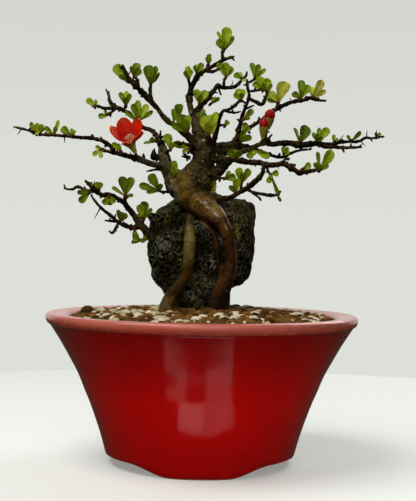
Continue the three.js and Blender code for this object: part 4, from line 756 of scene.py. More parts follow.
barkZonesWithShade = [  # place, the colour there, in some zones with painted shade in it, and how smooth and glossy the bark is
    ((0, -4, 157), paint(70, 60, 30), 0.1),
    ((-1, -6, 148), paint(74, 64, 32), 0.15),
    ((4, -5, 147), paint(54, 44, 16), 0.1),
    ((-8, -6, 142), paint(78, 62, 22), 0.15),
    ((-3, -11, 137), paint(70, 58, 24), 0.12),
    ((2, -11, 133), paint(66, 54, 22), 0.1),
    ((8, -8, 128), paint(84, 74, 44), 0.1),
    ((-18.6, -1, 144), paint(104, 98, 68), 0.05),
    ((-20.4, 0, 151), paint(88, 82, 54), 0.05),
    ((-12, -8, 136), paint(116, 90, 24), 0.45),
    ((-9, -11, 129), paint(122, 92, 18), 0.6),
    ((-14, -6, 130), paint(136, 124, 90), 0.4),
    ((-1, -13, 125), paint(122, 90, 28), 0.8),
    ((4, -15, 121), paint(138, 106, 54), 0.95),
    ((11, -16, 114), paint(98, 60, 10), 0.9),
    ((14, -17, 105), paint(70, 38, 3), 0.85),
    ((14, -17, 96), paint(68, 38, 5), 0.75),
    ((9, -16, 86), paint(76, 48, 12), 0.65),
    # the right root's foot: its own dark bark, darkened further as painted shade towards the soil
    ((6, -16, 75), paint(30, 16, 3), 0.5),
    # painted shade: the top of the left root, darkened under the trunk's overhang
    ((-8, -8, 118), paint(56, 42, 12), 0.4),
    ((-6.5, -16, 108), paint(122, 106, 56), 0.55),
    ((-7, -16, 99), paint(118, 102, 48), 0.55),
    ((-7.5, -15, 93), paint(70, 46, 10), 0.5),
    ((-12, -14, 84), paint(68, 48, 14), 0.55),
    ((-17, -13, 77), paint(96, 78, 40), 0.55),
    # the middle root and the root behind the strap: their own dark red-brown, darkened further as painted
    # shade between and behind the roots
    ((4, -14, 111), paint(42, 18, 3), 0.5),
    ((7.5, -15, 100), paint(25, 9, 1), 0.4),
    ((12, -12, 82), paint(26, 13, 3), 0.35),
    ((0, 12, 124), paint(78, 62, 26), 0.35),
    ((0, 27, 110), paint(86, 62, 24), 0.5),
    ((2, 25, 84), paint(66, 46, 18), 0.45),
]
zones = [(Vector(place), Vector(colour), gloss) for place, colour, gloss in barkZonesWithShade]
roundEnd = 0.55  # how far a limb's rounded end reaches past its path, in radii
endPoint = 0.02


def limbMesh(path, sides, fineness):
    first, last = Vector(path[0][:3]), Vector(path[-1][:3])
    back = (first - Vector(path[1][:3])).normalized() * path[0][3] * roundEnd
    ahead = (last - Vector(path[-2][:3])).normalized() * path[-1][3] * roundEnd
    points = [(*(first + back), endPoint)] + list(path) + [(*(last + ahead), endPoint)]
    bpy.ops.curve.primitive_bezier_curve_add()
    curve = bpy.context.object.data
    curve.dimensions = "3D"
    curve.resolution_u = fineness
    curve.bevel_depth = mm
    curve.bevel_resolution = (sides - 4) // 2
    spline = curve.splines[0]
    spline.radius_interpolation = "EASE"
    spline.bezier_points.add(len(points) - 2)
    for bend, (x, y, z, radius) in zip(spline.bezier_points, points):
        bend.co = (x * mm, y * mm, z * mm)
        bend.radius = radius
        bend.handle_left_type = bend.handle_right_type = "AUTO"
    bpy.ops.object.convert(target="MESH")
    return bpy.context.object


def zoneOf(place):  # the bark's colour with its painted shade, and its gloss, mixed from the nearest zones
    colour, gloss, total = Vector((0, 0, 0, 0)), 0, 0
    for zone, zoneColour, zoneGloss in zones:
        share = 1 / ((place - zone).length_squared + 4) ** 2
        colour += zoneColour * share
        gloss += zoneGloss * share
        total += share
    return colour / total, gloss / total


def slimmed(path):  # the twigs are finer than the solid ones they stand for
    least, slim = wood["slimming"], []
    for x, y, z, radius in path:
        kept = least + (1 - least) * smoothStep(radius, wood["fineTwig"], wood["fullLimb"])
        slim.append((x, y, z, radius * kept))
    return slim


def thickPart(path):
    count = sum(1 for point in path if point[3] >= wood["thickStart"])
    return slimmed(path)[: max(count, 2)] if path[0][3] >= wood["thickStart"] else None


def outerPart(path):
    count = sum(1 for point in path if point[3] >= wood["thickStart"])
    return slimmed(path)[max(0, min(count, len(path) - 1) - 1) :]


def makeTrunk():
    parts, samples = [], []
    paths = list(trunkAndRoots.values()) + [p for p in map(thickPart, branches.values()) if p]
    for path in paths:
        parts.append(limbMesh(path, wood["trunkSides"], wood["fineness"]))
        line = softLine([p[:3] for p in path], 6)
        walked = 0
        for i, point in enumerate(line):
            walked += (point - line[i - 1]).length if i else 0
            samples.append((point, walked))
    parts += [addBall(*burl) for burl in wood["burls"]]
    trunk = joinAll("trunk", parts)
    weld(trunk, 0.03 * mm)
    meltTogether(trunk, wood["voxel"], 5)
    finder = kdtree.KDTree(len(samples))
    for i, (point, _) in enumerate(samples):
        finder.insert(point, i)
    finder.balance()
    colours, gloss, along, moved = [], [], [], []
    for place, normal in [(vertex.co / mm, vertex.normal.copy()) for vertex in trunk.data.vertices]:
        walked = samples[finder.find(place)[1]][1]
        colour, shine = zoneOf(place)
        flaky = 1 - smoothStep(shine, 0.25, 0.5)
        lumps = 0.34 * ripple(place, 4.2) + 0.16 * ripple(place, 1.7, 3)
        plates = 0.4 * abs(ripple(place, 3.1, 5)) ** 0.5 - 0.2
        apart = abs((walked / 2.6 + 1.2 * ripple(place, 7, 9)) % 1 - 0.5)  # from the nearest crease
        crease = -0.16 * max(0, 1 - apart / 0.09)
        crease *= smoothStep(ripple(place, 3.3, 11), -0.1, 0.25)
        move = lumps * (0.4 + 0.9 * flaky) + 1.5 * plates * flaky + crease * (1 - 0.7 * flaky)
        moved.extend((place + normal * move) * mm)
        colours.append(colour)
        gloss.append(shine)
        along.append(walked)
    trunk.data.vertices.foreach_set("co", moved)
    trunk.data.update()
    setColours(trunk, "barkColour", colours)
    setValues(trunk, "gloss", gloss)
    setValues(trunk, "along", along)
    smoothShade(trunk, 80)
    finishPiece(trunk, "trunk_and_roots", trunkBark(), ["tree"])


def trunkBark():
    bark = Finish("quinceBark", Coat_Roughness=0.2, Specular_IOR_Level=0.06)
    place = bark.place()
    base = bark.value("barkColour", "Color")
    gloss = bark.value("gloss")
    along = bark.value("along")
    flaky = 1 - gloss.rise(0.25, 0.55)
    fine = bark.mottle(1.1, detail=5, roughness=0.65)
    broad = bark.mottle(4.5, detail=3)
    dark = bark.blend(0.78, base, paint(14, 8, 1))
    pale = bark.blend(0.6, base, paint(178, 168, 130))
    colour = bark.blend((broad + fine * 0.5).rise(0.5, 0.9), dark, base)
    colour = bark.blend(fine.rise(0.56, 0.74) * (0.24 + flaky * 0.6), colour, pale)
    # pale streaks on the flaky bark: its own pale flakes, and painted highlights where the upper trunk
    # catches the light
    paleFlakeAndSheen = bark.mottle(1.7, bark.scaled(place, 1, 1, 0.5), detail=5, roughness=0.6)
    colour = bark.blend(paleFlakeAndSheen.rise(0.6, 0.72) * flaky * 0.8, colour, paint(186, 178, 148))
    ring = (along * 2.4 + bark.mottle(5) * 9).sine()
    crack = ring.rise(0.90, 0.99) * bark.mottle(3.4, detail=1).rise(0.42, 0.56)
    colour = bark.blend(crack * 0.85, colour, paint(10, 5, 1))
    pits = bark.cells(3.1).rise(0.16, 0.08) * 0.75
    colour = bark.blend(pits * gloss, colour, paint(22, 11, 3))
    deep = bark.mottle(2.2, detail=4, roughness=0.6).rise(0.44, 0.3)
    colour = bark.blend(deep * flaky * 0.9, colour, paint(14, 10, 2))
    relief = fine * 0.14 * (0.3 + flaky * 1.6) - crack * 0.12 - pits * 0.06 - deep * flaky * 0.2
    roughness = 0.62 - gloss * 0.36 + fine * 0.12
    return bark.surface(colour, roughness, relief, 1, gloss.rise(0.4, 0.95) * 0.75)


def makeTwigs():
    rng = random.Random(11)
    parts = []
    paths = {name: outerPart(path) for name, path in {**branches, **stubs}.items()}
    paths.update(nodeSpurs(paths, rng))
    for i, (x, y, z, reach, count) in enumerate(snags):
        for k in range(count):
            way = Vector((rng.uniform(-1, 1), rng.uniform(-1, 1), rng.uniform(-0.8, 1))).normalized()
            foot = Vector((x, y, z)) + way * reach * rng.uniform(0, 0.35)
            bent = way + Vector((0, 0, rng.uniform(-0.3, 0.3)))
            tip = foot + bent * reach * rng.uniform(0.35, 0.75)
            thick = rng.uniform(0.6, 0.95)
            paths[f"snag{i}_{k}"] = [(*foot, thick), (*foot.lerp(tip, 0.5), 0.6), (*tip, 0.45)]
    thick = wood["thornFoot"]
    for i, (foot, tip) in enumerate((thorn[:3], thorn[3:]) for thorn in thorns):
        middle = tuple((a + b) / 2 for a, b in zip(foot, tip))
        paths[f"thorn{i}"] = [(*foot, thick), (*middle, thick * 0.6), (*tip, 0.1)]
    for name, path in paths.items():
        parts.append(makeTwig(name, path, rng))
    twigs = joinAll("twigs", parts)
    smoothShade(twigs, 80)
    finishPiece(twigs, "branches_and_twigs", twigBark())


def nodeSpurs(paths, rng):  # a bud scale or a short dead spur every few millimetres along the twigs
    spurs = {}
    for path in paths.values():
        line = softLine([point[:3] for point in path], 4)
        wait = rng.uniform(2, 5)
        for i in range(1, len(line) - 1):
            wait -= (line[i] - line[i - 1]).length
            along = (line[i + 1] - line[i - 1]).normalized()
            radius = path[min(i // 4, len(path) - 1)][3]
            if wait > 0 or radius > wood["spurLimit"]:
                continue
            lean = Vector((rng.uniform(-1, 1), rng.uniform(-1, 1), rng.uniform(-0.2, 1.4)))
            side = along.cross(lean).normalized()
            way = (side * rng.uniform(0.7, 1.2) + along * rng.uniform(0.2, 0.9)).normalized()
            reach = radius * 0.8 + rng.uniform(0.5, 1.9)
            thick = rng.uniform(0.35, 0.6)
            foot = line[i] + way * radius * 0.4
            tip = line[i] + way * reach
            middle = foot.lerp(tip, 0.6)
            spurs[f"spur{len(spurs)}"] = [(*foot, thick * 1.3), (*middle, thick), (*tip, thick * 0.8)]
            wait = rng.uniform(2.4, 6.5)
    return spurs


def makeTwig(name, path, rng):
    isThorn = name.startswith("thorn")
    sides = wood["spurSides"] if name.startswith(("spur", "snag")) else wood["twigSides"]
    length = sum((Vector(a[:3]) - Vector(b[:3])).length for a, b in zip(path, path[1:]))
    fineness = max(3, round(length / len(path) / wood["ringLength"]))
    twig = limbMesh(path, sides, 4 if isThorn else fineness)
    twig.name = name
    knobs = []
    spot = rng.uniform(1, 3)
    while spot < length and not isThorn:
        turn, height = rng.uniform(0, fullTurn), rng.uniform(0.25, 0.8)
        knobs.append((spot, turn, height, rng.uniform(0.4, 0.8)))
        spot += wood["knobSpacing"] * rng.uniform(0.5, 1.5)
    walked, before = 0, None
    along, age, youth = [], [], []
    points = [vertex.co.copy() for vertex in twig.data.vertices]
    for start in range(0, len(points) // sides * sides, sides):
        ring = points[start : start + sides]
        centre = sum(ring, Vector()) / sides
        walked += (centre - before).length / mm if before else 0
        before = centre
        reach = sum((point - centre).length for point in ring) / sides / mm
        share = walked / max(length, 1)
        for i, point in enumerate(ring):
            if not isThorn:
                swell = twigSwell(point / mm, i / sides * 2 * math.pi, walked, knobs)
                twig.data.vertices[start + i].co = centre + (point - centre) * swell
            along.append(walked)
            age.append(min(1, reach / wood["oldRadius"]) * (1 - 0.45 * walked / max(length, 1)))
            youth.append(0.0 if isThorn else share)
    setValues(twig, "along", along)
    setValues(twig, "age", age)
    setValues(twig, "youth", youth)
    weld(twig, 0.05 * mm)
    return twig


def twigSwell(place, turn, walked, knobs):  # how much wider the twig is there than its path says
    swell = 1 + 0.16 * ripple(place, 2.4) + 0.14 * ripple(place, 1.1, 4)
    for spot, side, height, spread in knobs:
        near = math.exp(-(((walked - spot) / spread) ** 2))
        if near > 0.02:
            swell += near * height * (0.35 + 0.65 * max(0, math.cos(turn - side)) ** 2)
    return swell


def twigBark():
    bark = Finish("twigBark", Specular_IOR_Level=0.06)
    age = bark.value("age")
    youth = bark.value("youth")
    along = bark.value("along")
    fine = bark.mottle(0.9, detail=4, roughness=0.6)
    broad = bark.mottle(4.5, detail=2)
    old = bark.blend(broad.rise(0.4, 0.65), paint(28, 21, 6), paint(88, 78, 38))
    young = bark.blend(broad.rise(0.4, 0.65), paint(30, 14, 3), paint(92, 64, 26))
    colour = bark.blend(age.rise(0.3, 0.85), young, old)
    fresh = youth.rise(0.8, 1.0) * (1 - age.rise(0.5, 0.8))
    colour = bark.blend(fresh * 0.6, colour, paint(112, 104, 34))
    colour = bark.blend(fine.rise(0.6, 0.43) * 0.92, colour, paint(9, 4, 1))
    colour = bark.blend(fine.rise(0.62, 0.74) * 0.7, colour, paint(166, 150, 108))
    ring = (along * 4.2 + bark.mottle(4) * 8).sine().rise(0.8, 0.98)
    colour = bark.blend(ring * 0.6, colour, paint(12, 6, 2))
    return bark.surface(colour, 0.5 + fine * 0.2, fine * 0.2 - ring * 0.06, 1)


makeTrunk()
makeTwigs()
print("wood grown")


rock = {
    "voxel": 0.45,
    "knobs": [(-23.9, 0, 117.6, 3.2), (21.6, 0, 123.4, 3.2)],
    "bubble": 2.7,  # size of the open bubbles in its surface
    "depth": 1.1,
}
rockDents = [  # place, reach, and how far the stone comes out there or goes in
    ((29, 2, 110), 8, -3.4),
    ((27.4, 12, 109.5), 4, -2.3),
    ((27, 6, 105.5), 3.4, -1.8),
    ((28, 0, 100), 4, 1.8),
    ((24, 0, 86), 5, -2.4),
    ((17, 0, 129), 5, -1.6),
    ((-21, 0, 122.5), 4, -2.2),
    ((-27, -3, 112.8), 3, -1.8),
    ((-28, 0, 107), 6, -0.7),
    ((-24, -4, 91), 7, 1.8),
    ((-8, -14, 104), 4, -0.8),
    ((19, -10, 100), 5, 1.0),
    ((-18, -12, 104), 5, 1.2),
]
rockLitAndShadedSpots = [  # painted light and shade on the stone: place, reach, and how much paler or darker it is painted there
    ((-17, -14, 105), 6, 0.5),
    ((-14, -14, 99), 5, 0.35),
    ((21, -12, 116), 7, 0.45),
    ((24, -10, 108), 6, 0.2),
    ((-20, -12, 92), 8, -0.5),
    ((-6, -14, 120), 7, -0.6),
    ((0, -16, 106), 6, -0.45),
    ((-16, -14, 84), 8, -0.4),
    ((3, -16, 94), 7, -0.2),
    ((22, -8, 92), 8, -0.2),
    ((-2, -14, 80), 5, 0.35),
]


def bubbleWall(place, size, low, high):  # 1 on the thin walls between the bubbles, 0 inside them
    near = noise.voronoi(place / size)[0]
    return 1 - smoothStep(near[1] - near[0], low, high)


def spotSum(place, spots):  # each spot counts in full at its own place and fades over its reach
    total = 0
    for spot, reach, amount in spots:
        total += amount * math.exp(-(place - Vector(spot)).length_squared / reach**2)
    return total


def makeRock():
    parts = [copyOf(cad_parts["rock"])] + [addBall(*knob) for knob in rock["knobs"]]
    stone = joinAll("stone", parts)
    weld(stone)
    meltTogether(stone, rock["voxel"], 4)
    moved, ridges, lights = [], [], []
    noise.seed_set(7)  # or else noise_vector starts from the clock
    for place, normal in [(vertex.co / mm, vertex.normal.copy()) for vertex in stone.data.vertices]:
        move = spotSum(place, rockDents)
        bent = place + 1.9 * noise.noise_vector(place / 4.2) + 0.7 * noise.noise_vector(place / 1.6)
        wall = bubbleWall(bent, rock["bubble"], 0.04, 0.5)
        fine = bubbleWall(bent, rock["bubble"] * 0.48, 0.05, 0.6)
        patch = smoothStep(ripple(place, 9, 2), -0.25, 0.2)
        ridge = max(wall * (0.45 + 0.55 * patch), fine * (0.85 - 0.4 * patch))
        move += rock["depth"] * (ridge - 0.55) + 0.9 * ripple(place, 8) + 0.45 * ripple(place, 3.2, 5)
        ridges.append(ridge)
        # painted light and shade from the spots above, with a random drift
        light = 0.5 + spotSum(place, rockLitAndShadedSpots) + 0.7 * ripple(place, 6, 8)
        lights.append(max(0, min(1, light)))
        moved.extend((place + normal * move) * mm)
    stone.data.vertices.foreach_set("co", moved)
    stone.data.update()
    setValues(stone, "ridge", ridges)
    setValues(stone, "light", lights)
    smoothShade(stone, 60)
    finishPiece(stone, "lava_rock", rockFinish(), ["rock"])


def rockFinish():
    lava = Finish("darkLava", Specular_IOR_Level=0.04)
    place = lava.place()
    ridge = lava.value("ridge")
    # the painted light and shade kept on the stone's points
    light = lava.value("light")
    fine = lava.mottle(0.9, detail=5, roughness=0.7)
    # pale crests on the bubble walls: the lava's grey-olive, with painted highlight where the ridges
    # catch the light, stronger where the stone is painted lit
    paleAndLitRidges = ridge.rise(0.5, 0.95) * fine.rise(0.4, 0.6) * (0.15 + light * 1.1)
    # near black inside the bubbles: the lava's own black, deepened as painted shade in the pits
    colour = lava.blend(ridge.rise(0.3, 0.85) * (0.35 + light * 0.65), paint(1, 1, 0), paint(17, 15, 6))
    olive = lava.mottle(10, detail=4).rise(0.42, 0.62)
    crest = lava.blend(olive, paint(142, 140, 118), paint(112, 106, 46))
    colour = lava.blend(paleAndLitRidges * 0.9, colour, crest)
    moss = lava.mottle(13, detail=4).rise(0.54, 0.66) * ridge.rise(0.3, 0.8) * (0.3 + light)
    colour = lava.blend(moss * 0.55, colour, paint(74, 66, 16))
    brownish = lava.axis(place, "Z").rise(0.108, 0.122) * lava.axis(place, "X").rise(0.006, 0.014)
    colour = lava.blend(brownish * fine.rise(0.38, 0.56) * 0.6, colour, paint(98, 82, 44))
    glint = lava.mottle(0.8, detail=3, roughness=0.7).rise(0.66, 0.74) * ridge
    colour = lava.blend(glint * (0.2 + light), colour, paint(176, 174, 152))
    relief = fine * 0.4 + lava.mottle(0.5, detail=2) * 0.1
    return lava.surface(colour, 0.5 + fine * 0.3, relief, 1)


makeRock()
print("rock carved")


soil = {
    "topHeight": 73.1,
    "edgeHeight": 69,
    "edge": 62,
    "side": [
        (0, 11.8), (11.6, 11.8), (12, 10.7), (37, 10.7),
        (41.8, 15.8), (51.1, 40.1), (59.4, 56.7), (62.9, 66.8),
    ],
    "under": 0.7,  # how far below the grains the mound's own surface lies
    "roughHeight": 68,  # above this, and within this radius, its surface is uneven
    "roughReach": 61,
    "grains": 1500,
    "fines": 1000,
    "fineSize": 0.5,
    "reach": 62.2,
    "rootPatch": (2, -16, 13),  # fewer pale grains and more red ones here: x, y and reach
    "sunk": 1.2,  # a grain this deep inside the rock or the wood is left out
    "darkLump": (-55.8, 2, 71.9, 3.1),
}
grainKinds = {  # share of all, share among the fines, radius range, squash range
    "clay_grains": (0.68, 0.67, (1.3, 2.7), (0.7, 1.0)),
    "pumice_grains": (0.14, 0.07, (1.6, 2.9), (0.8, 1.05)),
    "orange_grains": (0.05, 0.10, (1.0, 1.9), (0.7, 1.0)),
    "dark_grains": (0.13, 0.16, (1.2, 2.4), (0.7, 1.0)),
}
rootShares = {"pumice_grains": -0.85, "clay_grains": 0.6}  # what changes in the root patch
grainLooks = {  # low and high tone, marks and roughness
    "clay_grains": (paint(58, 32, 5), paint(130, 92, 42), paint(84, 60, 24), 0.95),
    "pumice_grains": (paint(176, 158, 114), paint(236, 226, 196), paint(124, 108, 66), 0.85),
    "orange_grains": (paint(134, 72, 22), paint(184, 122, 54), paint(112, 68, 30), 0.9),
    "dark_grains": (paint(40, 26, 10), paint(80, 60, 28), paint(22, 14, 6), 0.9),
}


def soilHeight(radius):
    share = min(1, radius / soil["edge"])
    return soil["topHeight"] - (soil["topHeight"] - soil["edgeHeight"]) * share * share


def makeMound():
    top = [(radius, soilHeight(radius) - soil["under"]) for radius in range(soil["edge"], 0, -2)]
    top.append((0, soil["topHeight"] - soil["under"]))
    mound = spinProfile("mound", soil["side"] + top, 96)
    for vertex in mound.data.vertices:
        place = vertex.co / mm
        if place.z > soil["roughHeight"] and place.xy.length < soil["roughReach"]:
            vertex.co.z += (0.6 * ripple(place, 3) + 0.4 * ripple(place, 1.4, 5)) * mm
    smoothShade(mound, 60)
    earth = Finish("darkEarth", Roughness=0.95, Specular_IOR_Level=0.05)
    colour = earth.blend(earth.mottle(2.5, detail=4).rise(0.4, 0.65), paint(36, 20, 6), paint(98, 62, 24))
    earth.surface(colour, None, earth.mottle(0.9), 0.5)
    finishPiece(mound, "soil_mound", earth.material, ["soil"])


def grainShapes(rng):  # six rough grains, modelled once
    shapes = []
    for i in range(6):
        bpy.ops.mesh.primitive_ico_sphere_add(subdivisions=2, radius=1)
        grain = bpy.context.object
        bpy.ops.object.mode_set(mode="EDIT")
        bpy.ops.transform.resize(value=(rng.uniform(0.95, 1.35), rng.uniform(0.8, 1.0), 1))
        bpy.ops.transform.vertex_random(offset=0.24, seed=i + 3)
        bpy.ops.object.mode_set(mode="OBJECT")
        shapes.append(grain)
    return shapes


def solidTree(name):
    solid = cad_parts[name].data
    corners = [vertex.co for vertex in solid.vertices]
    return BVHTree.FromPolygons(corners, [face.vertices for face in solid.polygons])


def isBuried(place, trees):  # deep inside the rock or the wood, where no grain can lie
    for tree in trees:
        near, normal, _, apart = tree.find_nearest(place)
        if (place - near).dot(normal) < 0 and apart > soil["sunk"] * mm:
            return True
    return False


def grainPlaces(rng):  # a spiral of coarse grains and one of fine grains over the whole top
    places = []
    for count, small in ((soil["grains"], False), (soil["fines"], True)):
        for i in range(count):
            turn = goldenTurn * i + rng.uniform(-0.05, 0.05)
            radius = soil["reach"] * math.sqrt((i + 0.5) / count) + rng.uniform(-0.9, 0.9)
            radius = min(radius, soil["reach"])
            places.append((radius * math.cos(turn), radius * math.sin(turn), radius, small))
    return places


def grainKind(x, y, small, pick):
    middleX, middleY, reach = soil["rootPatch"]
    near = math.exp(-((math.hypot(x - middleX, y - middleY) / reach) ** 2))
    for name, (share, fineShare, _, _) in grainKinds.items():
        part = (fineShare if small else share) * (1 + rootShares.get(name, 0) * near)
        if pick < part:
            break
        pick -= part
    return name


def makeGrains():
    rng = random.Random(5)
    shapes = grainShapes(rng)
    trees = [solidTree("rock"), solidTree("tree")]
    heaps = {name: [] for name in grainKinds}
    for x, y, radius, small in grainPlaces(rng):
        name = grainKind(x, y, small, rng.random())
        _, _, sizes, squash = grainKinds[name]
        size = rng.uniform(*sizes) * (soil["fineSize"] if small else 1)
        flat = rng.uniform(*squash)
        turn = Matrix.Rotation(rng.uniform(0, fullTurn), 4, "Z")
        turn = turn @ Matrix.Rotation(rng.uniform(-0.5, 0.5), 4, "X")
        height = soilHeight(radius) + (rng.uniform(0, 1.2) if small else rng.uniform(-0.6, 0.9))
        place = Vector((x, y, height)) * mm
        shape = rng.choice(shapes)
        if isBuried(place, trees):
            continue
        scale = Matrix.Diagonal((size * mm, size * mm, size * flat * mm, 1))
        heaps[name].append((shape, Matrix.Translation(place) @ turn @ scale, rng.random()))
    x, y, z, size = soil["darkLump"]
    scale = Matrix.Diagonal((size * 0.9 * mm, size * mm, size * mm, 1))
    heaps["dark_grains"].append((shapes[1], Matrix.Translation(inMetres((x, y, z))) @ scale, 0.9))
    for name, grains in heaps.items():
        pieces = []
        for shape, matrix, tone in grains:
            grain = copyOf(shape, matrix)
            setValues(grain, "tone", [tone] * len(grain.data.vertices))
            pieces.append(grain)
        heap = joinAll(name, pieces)
        smoothShade(heap, 35)
        finishPiece(heap, name, grainFinish(name, *grainLooks[name]))
        print(name, len(grains))
    for shape in shapes:
        bpy.data.objects.remove(shape)


def grainFinish(name, low, high, mark, roughness):
    grit = Finish(name, Roughness=roughness, Specular_IOR_Level=0.05)
    fine = grit.mottle(0.9, detail=4, roughness=0.65)
    colour = grit.blend(grit.value("tone"), low, high)
    colour = grit.blend(fine.rise(0.5, 0.68) * 0.7, colour, mark)
    holes = grit.cells(0.7).rise(0.28, 0.1)
    if name == "pumice_grains":
        colour = grit.blend(holes * 0.6, colour, paint(96, 84, 58))
    return grit.surface(colour, None, fine * 0.3 - holes * 0.2, 1)


makeMound()
makeGrains()
print("soil filled")


